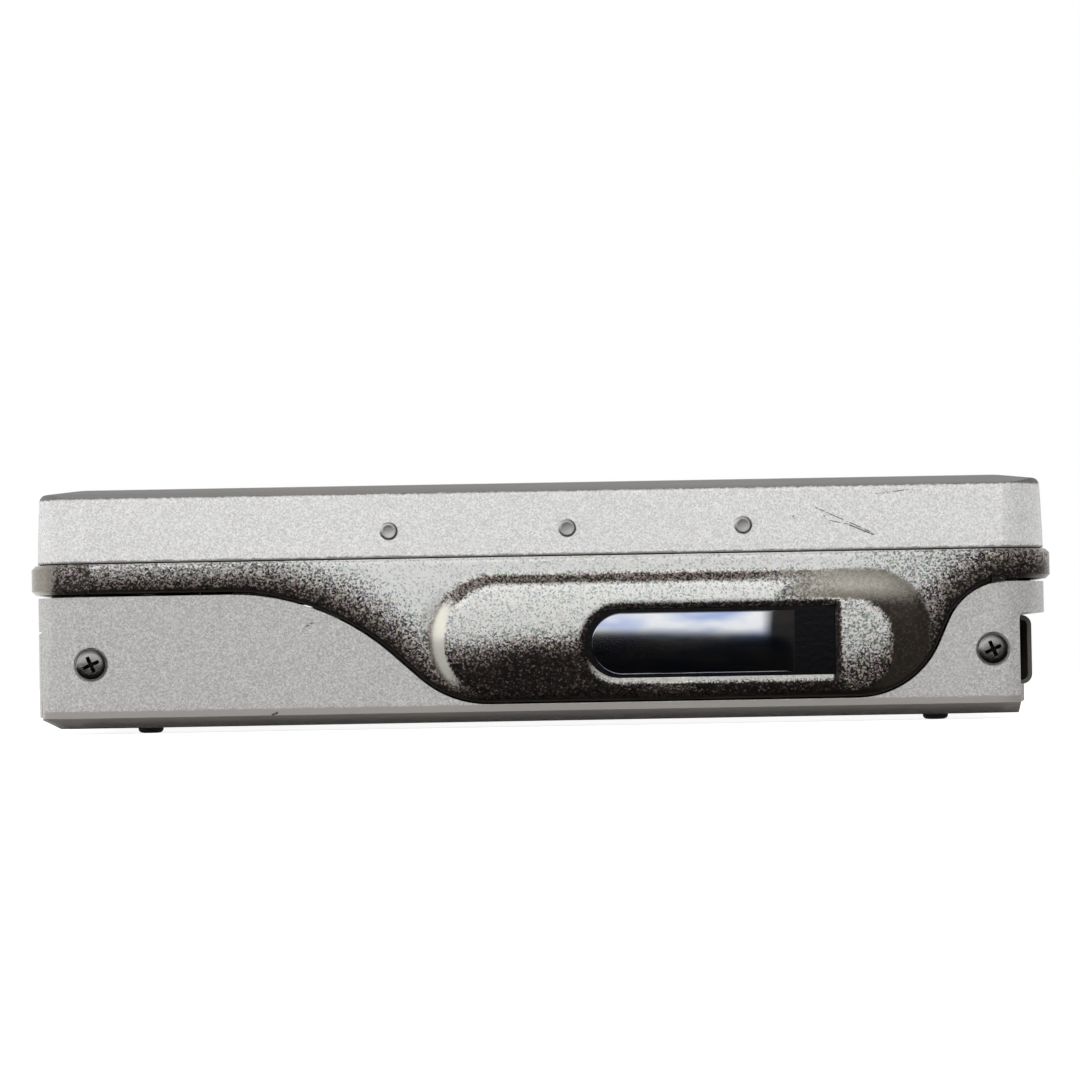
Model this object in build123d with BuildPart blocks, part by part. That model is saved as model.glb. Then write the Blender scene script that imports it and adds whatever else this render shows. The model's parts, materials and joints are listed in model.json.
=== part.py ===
# Portable minidisc player: a clamshell with a hinged lid, a tilting disc holder,
# a sliding lid latch, a battery bay and a disc drive hung on rubber dampers.
# Millimetres. +X is right seen from the front, +Y runs back to the hinge, +Z is up.
# The origin lies under the middle of the body, on the plane that the feet stand on.

from build123d import *
import math
import os

os.makedirs("parts", exist_ok=True)

# ---------------------------------------------------------------- driving sizes
# Media that the player is built round
disc_cartridge_width = 72.0
disc_cartridge_depth = 68.0
disc_cartridge_height = 5.0
cartridge_clearance = 0.3
battery_width = 17.0
battery_height = 6.1

# Outer shell
side_room = 2.95           # cartridge to the outside of the shell, at each side
end_room = 2.0             # half of what the shell adds to the cartridge's depth
drive_room = 4.0           # case height beyond the battery's
lid_room = 0.68            # lid height beyond the cartridge's
body_width = disc_cartridge_width + 2 * side_room
body_depth = disc_cartridge_depth + 2 * end_room
corner_radius = 4.0
foot_height = 0.45
case_height = battery_height + drive_room
case_gap = 0.23            # dark line between the lower case and the band
band_height = 2.29
lid_gap = 0.10             # dark line between the band and the lid
lid_height = disc_cartridge_height + lid_room
band_bevel = 0.3
band_proud = 0.5           # how far the band stands out from the shells
pad_proud = 1.0            # how far the raised oval stands out from the shells
apron_proud = 0.3          # how far the apron round the oval stands out
case_wall = 0.9
case_floor = 0.8
lid_wall = 0.8
lid_roof = 0.9
shell_fit = 0.1            # gap between the frame's walls and the shell round it

# Fits
slide_clearance = 0.15     # moving piece beside its guide
running_fit = 0.05         # radial, shaft in its bearing
seat_fit = 0.01            # radial, pin held in its lug

# ---------------------------------------------------------------- levels
case_bottom = foot_height
floor_top = case_bottom + case_floor
case_top = case_bottom + case_height
band_bottom = case_top + case_gap
band_top = band_bottom + band_height
lid_bottom = band_top + lid_gap
lid_top = lid_bottom + lid_height
lid_ceiling = lid_top - lid_roof
half_width = body_width / 2
half_depth = body_depth / 2
front_reach = half_depth + pad_proud
case_inner_x = half_width - case_wall
case_inner_y = half_depth - case_wall

# ---------------------------------------------------------------- disc holder sizes
holder_sheet = 0.3
holder_rail_width = 4.0
holder_lift = 0.15         # cartridge clearance over the rails and under the top
rail_rise = 0.45            # holder's rails above the case's rim
holder_front_gap = 1.3     # lid wall to holder mouth, room for the lid catches
holder_inner_x = disc_cartridge_width / 2 + cartridge_clearance
holder_outer_x = holder_inner_x + holder_sheet
holder_rail_bottom = case_top + rail_rise
holder_floor = holder_rail_bottom + holder_sheet
holder_roof = holder_floor + disc_cartridge_height + 2 * holder_lift
holder_top = holder_roof + holder_sheet
holder_front = -half_depth + lid_wall + holder_front_gap
holder_back = holder_front + disc_cartridge_depth + cartridge_clearance
disc_y = holder_front + disc_cartridge_depth / 2 + cartridge_clearance / 2

# ---------------------------------------------------------------- hinge sizes
knuckle_radius = 1.0
hinge_pin_radius = 0.45
knuckle_gap = 0.2          # side gap between neighbouring knuckles
notch_clearance = 0.2      # knuckle to the notch it turns in
hinge_y = front_reach - knuckle_radius
hinge_z = (band_top + lid_bottom) / 2
inner_lug_start = half_width - 14.75
inner_lug_width = 2.0
holder_knuckle_width = 2.6
lid_knuckle_width = 3.0
outer_lug_width = 2.0
holder_knuckle_start = inner_lug_start + inner_lug_width + knuckle_gap
lid_knuckle_start = holder_knuckle_start + holder_knuckle_width + knuckle_gap
outer_lug_start = lid_knuckle_start + lid_knuckle_width + knuckle_gap
hinge_end = outer_lug_start + outer_lug_width

# ---------------------------------------------------------------- band and opening
band_x = half_width + band_proud
band_y = half_depth + band_proud
opening_x = holder_outer_x + 0.35
opening_front = -half_depth + lid_wall
opening_back = holder_back + holder_sheet + 0.35
skirt_drop = 1.45          # depth of the side skirts below the band
skirt_x = case_inner_x - shell_fit
skirt_y = case_inner_y - shell_fit
skirt_corner = corner_radius - case_wall

# ---------------------------------------------------------------- front fascia sizes
apron_bottom = case_bottom + 1.47
apron_length = 28.05       # flat bottom edge, between the two sweeps
apron_right_end = half_width - 14.85
apron_left_end = apron_right_end - apron_length
apron_gap = 0.12
left_sweep_angle = 42.0
left_sweep_upper_radius = 18.5
left_sweep_lower_radius = 8.0
right_sweep_angle = 66.0
right_sweep_upper_radius = 4.9
right_sweep_lower_radius = 6.9
pad_length = 34.35
pad_right = apron_right_end + 2.75
pad_left = pad_right - pad_length
pad_bottom = apron_bottom + 0.44
pad_top = case_top + 0.5
pad_right_radius = 3.2
pad_slope_left = 1.2
pad_slope_right = 3.0
pad_slope_top = 0.7
fascia_skin = 0.9
window_length = 19.2
window_right = pad_right - 4.35
window_left = window_right - window_length
window_bottom = pad_bottom + 1.27
window_top = pad_top - 2.12
window_dish = 0.45

# ---------------------------------------------------------------- latch sizes
latch_travel = 3.0
knob_border = 0.27         # reveal between the knob and its window, top and bottom
knob_left = window_left + 0.5
knob_crown = 0.22
knob_sink = 0.07           # knob crown below the pad's face
knob_ramp = 2.6            # length of the slope down to the knob's sunk right end
flange_overlap = 0.6
flange_thickness = 0.5
latch_sheet = 0.5
latch_plate_gap = 0.15
catch_width = 1.6
catch_foot = 1.1
catch_foot_height = 0.6
catch_thickness = 0.45
catch_positions = (window_left - 13.9, window_left + 8.1)   # left edge of each lid catch
catch_bottom = window_top + 0.42
nose_height = 0.75
nose_gap = 0.15
lower_rail_x = (window_left - 7.8, window_left + 10.7)
upper_rail_x = (window_left - 1.3, window_left + 5.2)
rail_length = 3.0
rail_lip = 0.45
spring_tab_height = 2.0
spring_tab_depth = 1.6
spring_post_x = window_right + 6.4
spring_post_width = 0.8
spring_folds = 6
spring_strip = 0.2
spring_height = 1.6
knob_middle = (window_bottom + window_top) / 2

# ---------------------------------------------------------------- drive sizes
deck_thickness = 0.6
deck_top = case_top - 1.35
deck_margin = 0.7          # deck edge to the frame's skirt
shelf_thickness = 0.75
shelf_bottom = deck_top + 0.65
damper_x = skirt_x - 3.95
damper_y = skirt_y - 5.0
damper_size = 3.2
board_thickness = 0.8
board_standoff = 0.35
motor_radius = 7.0
motor_height = 4.0
spindle_radius = 0.75
turntable_radius = 6.0
turntable_top = holder_floor + 1.3
lens_x = 15.5              # lens nearest to the spindle
sled_travel = 14.5
rod_radius = 0.75
rod_spacing = 20.0
rod_z = deck_top - 2.6
screw_radius = 0.75
screw_offset = 3.3         # lead screw beyond the outer guide rod
screw_z = rod_z - 0.9
gear_module = 0.25
gear_teeth = 18
pinion_teeth = 8
gear_width = 1.2
gear_backlash = 0.12

# ---------------------------------------------------------------- battery bay sizes
battery_left = -case_inner_x + 2.05
battery_length = body_width - 10.9   # stick cell between the door and the terminal's recess
battery_front = -case_inner_y + 2.5
bay_gap = 0.3
bay_wall = 0.6
bay_wall_height = 4.2
contact_room = 1.1
battery_right = battery_left + battery_length
battery_back = battery_front + battery_width

deck_bottom = deck_top - deck_thickness
deck_x = opening_x - deck_margin
board_bottom = floor_top + board_standoff
board_top = board_bottom + board_thickness


# ---------------------------------------------------------------- helpers
def sweep_run(drop, angle, upper_radius, lower_radius):
    """Width of an S-curve that drops by two arcs with a straight line between."""
    turn = math.radians(angle)
    radii = upper_radius + lower_radius
    line = (drop - radii * (1 - math.cos(turn))) / math.sin(turn)
    return radii * math.sin(turn) + line * math.cos(turn)


def apron_outline(gap):
    """Closed outline of the apron below the band, seen from the front, grown by gap."""
    bottom = apron_bottom - gap
    top = case_top + 0.5
    drop = case_top - bottom
    left_run = sweep_run(drop, left_sweep_angle, left_sweep_upper_radius, left_sweep_lower_radius)
    right_run = sweep_run(drop, right_sweep_angle, right_sweep_upper_radius, right_sweep_lower_radius)
    left_x = apron_left_end - left_run - gap
    right_x = apron_right_end + right_run + gap
    with BuildLine() as outline:
        upper_left = JernArc((left_x, case_top), (1, 0), left_sweep_upper_radius, -left_sweep_angle)
        lower_left = JernArc(
            (apron_left_end - gap, bottom), (-1, 0), left_sweep_lower_radius, -left_sweep_angle
        )
        Line(upper_left @ 1, lower_left @ 1)
        Line((apron_left_end - gap, bottom), (apron_right_end + gap, bottom))
        lower_right = JernArc(
            (apron_right_end + gap, bottom), (1, 0), right_sweep_lower_radius, right_sweep_angle
        )
        upper_right = JernArc((right_x, case_top), (-1, 0), right_sweep_upper_radius, right_sweep_angle)
        Line(lower_right @ 1, upper_right @ 1)
        Polyline((right_x, case_top), (right_x, top), (left_x, top), (left_x, case_top))
    return outline.line


def front_plane(y):
    """Plane facing the front at depth y, its x to the right and its y up."""
    return Plane(origin=(0, y, 0), x_dir=(1, 0, 0), z_dir=(0, -1, 0))


def side_plane(x):
    """Plane facing +X at x, its x to the back and its y up."""
    return Plane(origin=(x, 0, 0), x_dir=(0, 1, 0), z_dir=(1, 0, 0))


def pad_outline(left, right, bottom, top, right_radius):
    """Oval with a full round left end and softer corners on the right."""
    left_radius = (top - bottom) / 2 - 0.01
    with BuildSketch() as sketch:
        with Locations(((left + right) / 2, (bottom + top) / 2)):
            Rectangle(right - left, top - bottom)
        fillet(sketch.vertices().group_by(Axis.X)[0], left_radius)
        fillet(sketch.vertices().group_by(Axis.X)[-1], right_radius)
    return sketch.sketch


def gear_outline(teeth):
    """Straight-flanked small gear outline with rounded-off tooth thickness."""
    pitch_radius = gear_module * teeth / 2
    outer_radius = pitch_radius + 0.9 * gear_module
    root_radius = pitch_radius - 1.15 * gear_module
    tooth = 2 * math.pi / teeth
    thickness = tooth / 2 - gear_backlash / pitch_radius
    points = []
    for index in range(teeth):
        middle = index * tooth
        for radius, half in (
            (root_radius, thickness * 0.72),
            (outer_radius, thickness * 0.22),
            (outer_radius, -thickness * 0.22),
            (root_radius, -thickness * 0.72),
        ):
            points.append((radius * math.cos(middle - half), radius * math.sin(middle - half)))
    return points


# ================================================================ LID
lid_side_draft = 0.35
lid_side_drop = 0.43
lid_side_crown = 4.0
lid_front_roll = 0.77
lid_roll_depth = 2.2
rivet_radius = 0.725
rivet_proud = 0.15
rivet_shank = 0.8          # across the flats of the hidden shank
rivet_positions = (window_left - 14.9, window_left - 1.2, window_left + 12.3)
rivet_z = lid_bottom + 2.03
key_first_x = half_width - 30.95
display_left = 6.45 - half_width
display_right = key_first_x - 9.5
display_width = display_right - display_left
window_x = (display_left + display_right) / 2
display_y = 15.0 - half_depth
display_depth = 13.0
display_lens = 0.5
display_ledge = 1.2
key_y = display_y
key_pitch = 7.6
key_length = 5.8
key_width = 4.2
key_proud = 0.35
key_travel = 0.3
key_rim = 0.5
key_flange = 0.3

with BuildPart() as lid_shell:
    with BuildSketch(Plane.XY.offset(lid_bottom)):
        RectangleRounded(body_width, body_depth, corner_radius)
    extrude(amount=lid_height)
    # Front view: drafted sides and a shallow crown at each side of the top
    with BuildSketch(front_plane(0)) as lid_front_view:
        with BuildLine():
            Polyline(
                (-half_width, lid_bottom),
                (-half_width + lid_side_draft, lid_top - lid_side_drop),
                (-half_width + lid_side_crown, lid_top),
                (half_width - lid_side_crown, lid_top),
                (half_width - lid_side_draft, lid_top - lid_side_drop),
                (half_width, lid_bottom),
                close=True,
            )
        make_face()
        fillet(lid_front_view.vertices().group_by(Axis.Y)[-1], 8.0)
        fillet(lid_front_view.vertices().group_by(Axis.X)[1], 0.6)
        fillet(lid_front_view.vertices().group_by(Axis.X)[-2], 0.6)
    extrude(amount=half_depth, both=True, mode=Mode.INTERSECT)
    # Side view: the top rolls off towards the front and the back
    with BuildSketch(side_plane(0)) as lid_side_view:
        with BuildLine():
            Polyline(
                (-half_depth, lid_bottom),
                (-half_depth, lid_top - lid_front_roll),
                (-half_depth + lid_roll_depth, lid_top),
                (half_depth - lid_roll_depth, lid_top),
                (half_depth, lid_top - lid_front_roll),
                (half_depth, lid_bottom),
                close=True,
            )
        make_face()
        fillet(lid_side_view.vertices().group_by(Axis.Y)[-1], 3.0)
        fillet(lid_side_view.vertices().group_by(Axis.Y)[1], 0.35)
    extrude(amount=half_width, both=True, mode=Mode.INTERSECT)
    with BuildSketch(Plane.XY.offset(lid_bottom)):
        RectangleRounded(body_width - 2 * lid_wall, body_depth - 2 * lid_wall, corner_radius - lid_wall)
    extrude(amount=lid_ceiling - lid_bottom, mode=Mode.SUBTRACT)
    # Notches for the frame's lugs and the holder's knuckles
    for side in (-1, 1):
        for start, width in (
            (inner_lug_start, inner_lug_width + knuckle_gap + holder_knuckle_width),
            (outer_lug_start, outer_lug_width),
        ):
            with BuildSketch(side_plane(side * (start + width / 2))):
                with Locations((half_depth, lid_bottom)):
                    Rectangle(4 * lid_wall, 2 * (knuckle_radius + notch_clearance) + 2 * lid_gap)
            extrude(amount=width / 2 + knuckle_gap, both=True, mode=Mode.SUBTRACT)
        # Knuckle with its gusset up the back wall
        with BuildSketch(side_plane(side * (lid_knuckle_start + lid_knuckle_width / 2))):
            with Locations((hinge_y, hinge_z)):
                Circle(knuckle_radius)
            with BuildLine():
                Polyline(
                    (half_depth - lid_wall, lid_bottom + 2.4),
                    (half_depth - lid_wall, hinge_z),
                    (hinge_y + knuckle_radius, hinge_z),
                    (half_depth, lid_bottom + 2.4),
                    close=True,
                )
            make_face()
        extrude(amount=lid_knuckle_width / 2, both=True)
        with BuildSketch(side_plane(side * (lid_knuckle_start + lid_knuckle_width / 2))):
            with Locations((hinge_y, hinge_z)):
                RegularPolygon(hinge_pin_radius + running_fit, 12, major_radius=False)
        extrude(amount=lid_knuckle_width / 2, both=True, mode=Mode.SUBTRACT)
    # Rivet holes in the front wall
    with BuildSketch(front_plane(-half_depth + lid_wall / 2)):
        with Locations([(x, rivet_z) for x in rivet_positions]):
            Rectangle(rivet_shank + 2 * seat_fit, rivet_shank + 2 * seat_fit)
    extrude(amount=lid_wall, both=True, mode=Mode.SUBTRACT)
    # Display opening: a shallow seat for the lens and a smaller opening below it
    with BuildSketch(Plane.XY.offset(lid_top)):
        with Locations((window_x, display_y)):
            Rectangle(display_width, display_depth)
    extrude(amount=-display_lens, mode=Mode.SUBTRACT)
    with BuildSketch(Plane.XY.offset(lid_top)):
        with Locations((window_x, display_y)):
            Rectangle(display_width - 2 * display_ledge, display_depth - 2 * display_ledge)
    extrude(amount=-2 * lid_roof, mode=Mode.SUBTRACT)
    # Key holes, each with a wider pocket below for the key's flange
    with BuildSketch(Plane.XY.offset(lid_ceiling)):
        with Locations([(key_first_x + key_pitch * index, key_y) for index in range(4)]):
            Rectangle(key_width, key_length)
    extrude(amount=lid_roof, mode=Mode.SUBTRACT)
    with BuildSketch(Plane.XY.offset(lid_ceiling)):
        with Locations([(key_first_x + key_pitch * index, key_y) for index in range(4)]):
            Rectangle(key_width + 2 * key_rim, key_length + 2 * key_rim)
    extrude(amount=lid_roof / 2, mode=Mode.SUBTRACT)
lid_shell.part.label = "lid_shell"
export_step(lid_shell.part, "parts/lid_shell.step")

with BuildPart() as lcd_window:
    with BuildSketch(Plane.XY.offset(lid_top - display_lens)):
        with Locations((window_x, display_y)):
            Rectangle(display_width - 0.1, display_depth - 0.1)
    extrude(amount=display_lens - 0.05)
lcd_window.part.label = "lcd_window"
export_step(lcd_window.part, "parts/lcd_window.step")

lcd_thickness = 0.8
with BuildPart() as lcd_panel:
    with BuildSketch(Plane.XY.offset(lid_ceiling - lcd_thickness)):
        with Locations((window_x, display_y)):
            Rectangle(display_width, display_depth)
    extrude(amount=lcd_thickness)
    with BuildSketch(Plane.XY.offset(lid_ceiling)):
        with Locations((window_x, display_y)):
            Rectangle(display_width - 3.0, display_depth - 3.0)
    extrude(amount=0.35)
lcd_panel.part.label = "lcd_panel"
export_step(lcd_panel.part, "parts/lcd_panel.step")

# The inner plate is riveted to the front wall and carries the two catches
plate_sheet = 0.3
plate_gap = 0.2            # plate above the closed holder
plate_bottom = holder_top + plate_gap
plate_top = plate_bottom + plate_sheet
plate_half_x = half_width - lid_wall - 3.35
plate_back = half_depth - 5.0
plate_hole_width = 2 * plate_half_x - 33.6
plate_hole_depth = 8.0
plate_hole_y = plate_back - 19.0
key_board_thickness = 0.25
with BuildPart() as lid_inner_plate:
    plate_front = -half_depth + lid_wall
    with BuildSketch(Plane.XY.offset(plate_bottom)):
        with Locations((0, (plate_front + plate_back) / 2)):
            Rectangle(2 * plate_half_x, plate_back - plate_front)
        with Locations((window_x, display_y)):
            Rectangle(display_width + 1.0, display_depth + 1.0, mode=Mode.SUBTRACT)
        with Locations((0, plate_hole_y)):
            Rectangle(plate_hole_width, plate_hole_depth, mode=Mode.SUBTRACT)
    extrude(amount=plate_sheet)
    # Front flange behind the wall, with rivet holes
    flange_left = rivet_positions[0] - 4.0
    flange_right = rivet_positions[-1] + 4.0
    with BuildSketch(front_plane(plate_front)):
        with Locations(((flange_left + flange_right) / 2, (rivet_z - 1.2 + plate_top) / 2)):
            Rectangle(flange_right - flange_left, plate_top - rivet_z + 1.2)
        with Locations([(x, rivet_z) for x in rivet_positions]):
            Rectangle(rivet_shank + 2 * seat_fit, rivet_shank + 2 * seat_fit, mode=Mode.SUBTRACT)
    extrude(amount=-plate_sheet)
    # Catches: a leg that hangs through the opening and a foot that points right
    for left_edge in catch_positions:
        with BuildSketch(front_plane(plate_front + latch_plate_gap)):
            with Locations((left_edge + catch_width / 2, (catch_bottom + plate_top) / 2)):
                Rectangle(catch_width, plate_top - catch_bottom)
            with Locations((left_edge + catch_width + catch_foot / 2, catch_bottom + catch_foot_height / 2)):
                Rectangle(catch_foot, catch_foot_height)
        extrude(amount=-catch_thickness)
lid_inner_plate.part.label = "lid_inner_plate"
export_step(lid_inner_plate.part, "parts/lid_inner_plate.step")

with BuildPart() as lid_rivets:
    with BuildSketch(front_plane(-half_depth)):
        with Locations([(x, rivet_z) for x in rivet_positions]):
            Circle(rivet_radius)
    extrude(amount=rivet_proud)
    with BuildSketch(front_plane(-half_depth)):
        with Locations([(x, rivet_z) for x in rivet_positions]):
            Rectangle(rivet_shank, rivet_shank)
    extrude(amount=-(lid_wall + plate_sheet))
lid_rivets.part.label = "lid_rivets"
export_step(lid_rivets.part, "parts/lid_rivets.step")

board_clear = 0.03
with BuildPart() as key_board:
    with BuildSketch(Plane.XY.offset(plate_top + board_clear)):
        with Locations((key_first_x + 1.5 * key_pitch, key_y)):
            Rectangle(4.6 * key_pitch, 10.0)
    extrude(amount=key_board_thickness)
key_board.part.label = "key_board"
export_step(key_board.part, "parts/key_board.step")

key_gap = 0.12
flange_top = lid_ceiling + lid_roof / 2 - 0.05
for index, key_name in enumerate(("back_key", "play_key", "forward_key", "stop_key")):
    with BuildPart() as lid_key:
        with BuildSketch(Plane.XY.offset(flange_top - key_flange)):
            with Locations((key_first_x + key_pitch * index, key_y)):
                Rectangle(key_width - 2 * key_gap, key_length - 2 * key_gap)
        extrude(amount=lid_top + key_proud - flange_top + key_flange)
        chamfer(lid_key.faces().sort_by(Axis.Z)[-1].edges(), 0.25)
        with BuildSketch(Plane.XY.offset(flange_top - key_flange)):
            with Locations((key_first_x + key_pitch * index, key_y)):
                Rectangle(key_width + key_rim, key_length + key_rim)
        extrude(amount=key_flange)
    lid_key.part.label = key_name
    export_step(lid_key.part, f"parts/{key_name}.step")

# ================================================================ DISC HOLDER
holder_window_width = disc_cartridge_width - 26.0
holder_window_depth = disc_cartridge_depth / 2
tongue_length = 9.0
tongue_slit = 0.8
tongue_end_x = holder_inner_x - 2.1
tongue_half_width = 2.6
with BuildPart() as disc_holder:
    with BuildSketch(front_plane(holder_front)):
        with Locations((0, (holder_rail_bottom + holder_top) / 2)):
            Rectangle(2 * holder_outer_x, holder_top - holder_rail_bottom)
            Rectangle(
                2 * holder_inner_x, holder_roof - holder_floor, mode=Mode.SUBTRACT
            )
        with Locations((0, holder_rail_bottom)):
            Rectangle(2 * (holder_inner_x - holder_rail_width), 3 * holder_sheet, mode=Mode.SUBTRACT)
    extrude(amount=-(holder_back - holder_front))
    with BuildSketch(Plane.XY.offset(holder_roof)):
        with Locations((0, disc_y)):
            Rectangle(holder_window_width, holder_window_depth)
        # Slots that free two tongues, which press on the cartridge
        for side in (-1, 1):
            for offset_y in (-tongue_half_width, tongue_half_width):
                with Locations((side * (tongue_end_x + 0.3 - tongue_length / 2), disc_y + offset_y)):
                    Rectangle(tongue_length, tongue_slit)
            with Locations((side * tongue_end_x, disc_y)):
                Rectangle(tongue_slit, 2 * tongue_half_width + tongue_slit)
    extrude(amount=holder_sheet, mode=Mode.SUBTRACT)
    # Back stop for the cartridge
    with BuildSketch(front_plane(holder_back)):
        with Locations((0, (holder_rail_bottom + holder_top) / 2)):
            Rectangle(2 * holder_outer_x, holder_top - holder_rail_bottom)
        with Locations((0, holder_rail_bottom)):
            Rectangle(holder_outer_x + 3.4, disc_cartridge_height, mode=Mode.SUBTRACT)
    extrude(amount=-holder_sheet)
    # Arms and knuckles on the hinge axis
    for side in (-1, 1):
        with BuildSketch(side_plane(side * (holder_knuckle_start + holder_knuckle_width / 2))):
            with Locations((hinge_y, hinge_z)):
                Circle(knuckle_radius)
            with Locations(((holder_back + hinge_y) / 2, hinge_z)):
                Rectangle(hinge_y - holder_back, 1.3)
        extrude(amount=holder_knuckle_width / 2, both=True)
        with BuildSketch(side_plane(side * (holder_knuckle_start + holder_knuckle_width / 2))):
            with Locations((hinge_y, hinge_z)):
                RegularPolygon(hinge_pin_radius + running_fit, 12, major_radius=False)
        extrude(amount=holder_knuckle_width / 2, both=True, mode=Mode.SUBTRACT)
disc_holder.part.label = "disc_holder"
export_step(disc_holder.part, "parts/disc_holder.step")

# The finger that slides a cartridge's shutter open, on the holder's right wall
with BuildPart() as shutter_opener:
    with BuildSketch(Plane.XY.offset(holder_floor + 1.2)):
        with BuildLine():
            Polyline(
                (holder_inner_x, disc_y - 14.0),
                (holder_inner_x, disc_y - 7.0),
                (holder_inner_x - 0.25, disc_y - 7.6),
                (holder_inner_x - 0.25, disc_y - 13.4),
                close=True,
            )
        make_face()
    extrude(amount=1.4)
shutter_opener.part.label = "shutter_opener"
export_step(shutter_opener.part, "parts/shutter_opener.step")

# ================================================================ MID FRAME
leg_front_x = skirt_x - 5.25
leg_width = 3.0
leg_bottom = case_bottom + 2.95
leg_depth = 2.1
screw_x = half_width - 4.35
screw_z_case = case_bottom + 4.9
case_screw_shank = 1.3      # across the flats of the hidden shank
case_screw_head_radius = 1.2
case_screw_head = 0.55
case_screw_length = 2.6
case_screw_recess = 1.33
recess_x = half_width - 2.25     # outer wall of the recess at the right
recess_top = case_top - 2.4
recess_back = 20.0 - half_depth

with BuildPart() as mid_frame:
    # Band: a full ring with rounded outer edges
    with BuildSketch(Plane.XY.offset(band_bottom)):
        RectangleRounded(2 * band_x, 2 * band_y, corner_radius + band_proud)
    extrude(amount=band_height)
    chamfer(mid_frame.edges().filter_by(Plane.XY), band_bevel)
    # Apron that hangs from the band into the lower case's cut-out
    with BuildSketch(front_plane(-half_depth - apron_proud)):
        add(make_face(apron_outline(0).edges()))
    extrude(amount=-(half_depth + apron_proud + opening_front))
    # Groove round the raised oval, then the oval itself with its sloping sides
    groove = pad_outline(
        pad_left - pad_slope_left,
        pad_right + pad_slope_right,
        apron_bottom,
        pad_top + pad_slope_top,
        pad_right_radius + 1.6,
    )
    with BuildSketch(front_plane(-half_depth - apron_proud)):
        add(groove)
    extrude(amount=pad_proud, mode=Mode.SUBTRACT)
    with BuildSketch(front_plane(-half_depth - apron_proud)):
        add(groove)
    with BuildSketch(front_plane(-front_reach)):
        add(pad_outline(pad_left, pad_right, pad_bottom, pad_top, pad_right_radius))
    loft()
    # Opening for the disc holder
    with BuildSketch(Plane.XY.offset(floor_top)):
        with Locations((0, (opening_front + opening_back) / 2)):
            Rectangle(2 * opening_x, opening_back - opening_front)
    extrude(amount=lid_top, mode=Mode.SUBTRACT)
    # Side skirts inside the lower case
    for side in (-1, 1):
        with BuildSketch(Plane.XY.offset(band_bottom)):
            with Locations((side * (opening_x + skirt_x) / 2, 0)):
                Rectangle(skirt_x - opening_x, 2 * (half_depth - corner_radius))
        extrude(amount=-skirt_drop)
        # Corner shelves over the deck, in front with a leg that takes a case screw
        for end in (-1, 1):
            edge_y = end * skirt_y
            shelf_inner_y = end * (damper_y - damper_size / 2)
            with BuildSketch(Plane.XY.offset(shelf_bottom)):
                with Locations((side * (leg_front_x + skirt_x) / 2, (edge_y + shelf_inner_y) / 2)):
                    Rectangle(skirt_x - leg_front_x, abs(edge_y - shelf_inner_y))
                RectangleRounded(2 * skirt_x, 2 * skirt_y, skirt_corner, mode=Mode.INTERSECT)
            extrude(amount=shelf_thickness)
        with BuildSketch(Plane.XY.offset(leg_bottom)):
            with Locations((side * (leg_front_x + leg_width / 2), -skirt_y + leg_depth / 2)):
                Rectangle(leg_width, leg_depth)
            RectangleRounded(2 * skirt_x, 2 * skirt_y, skirt_corner, mode=Mode.INTERSECT)
        extrude(amount=shelf_bottom + shelf_thickness - leg_bottom)
        with BuildSketch(front_plane(-skirt_y)):
            with Locations((side * screw_x, screw_z_case)):
                Rectangle(case_screw_shank + 2 * seat_fit, case_screw_shank + 2 * seat_fit)
        extrude(amount=-leg_depth, mode=Mode.SUBTRACT)
        # Hinge lugs, and the notches that the lid and the holder turn in
        notch_width = outer_lug_start - holder_knuckle_start + knuckle_gap
        with BuildSketch(side_plane(side * (holder_knuckle_start - knuckle_gap + notch_width / 2))):
            with Locations((hinge_y, hinge_z)):
                Rectangle(4 * knuckle_radius, 2 * (knuckle_radius + notch_clearance))
        extrude(amount=notch_width / 2, both=True, mode=Mode.SUBTRACT)
        for start, width in ((inner_lug_start, inner_lug_width), (outer_lug_start, outer_lug_width)):
            with BuildSketch(side_plane(side * (start + width / 2))):
                with Locations((hinge_y, hinge_z)):
                    Circle(knuckle_radius)
            extrude(amount=width / 2, both=True)
            with BuildSketch(side_plane(side * (start + width / 2))):
                with Locations((hinge_y, hinge_z)):
                    RegularPolygon(hinge_pin_radius + seat_fit, 12, major_radius=False)
            extrude(amount=width / 2, both=True, mode=Mode.SUBTRACT)
    # Room behind the oval for the latch knob's flange and its travel
    pocket_left = window_left - flange_overlap - latch_travel - slide_clearance
    pocket_right = window_right + flange_overlap + latch_travel + slide_clearance
    with BuildSketch(front_plane(-front_reach + fascia_skin)):
        with Locations(((pocket_left + pocket_right) / 2, (window_bottom + window_top) / 2)):
            Rectangle(
                pocket_right - pocket_left,
                window_top - window_bottom + 2 * flange_overlap + 2 * slide_clearance,
            )
    extrude(amount=-2.0, mode=Mode.SUBTRACT)
    # Window for the knob, round at the left and square at the right, with a dished rim
    window = pad_outline(window_left, window_right, window_bottom, window_top, 0.05)
    with BuildSketch(front_plane(-front_reach)):
        add(window)
    extrude(amount=-2 * fascia_skin, mode=Mode.SUBTRACT)
    dish = pad_outline(
        window_left - window_dish, window_right, window_bottom - window_dish, window_top + window_dish, 0.05
    )
    with BuildSketch(front_plane(-front_reach)):
        add(dish)
    with BuildSketch(front_plane(-front_reach + window_dish)):
        add(window)
    loft(mode=Mode.SUBTRACT)
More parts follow.
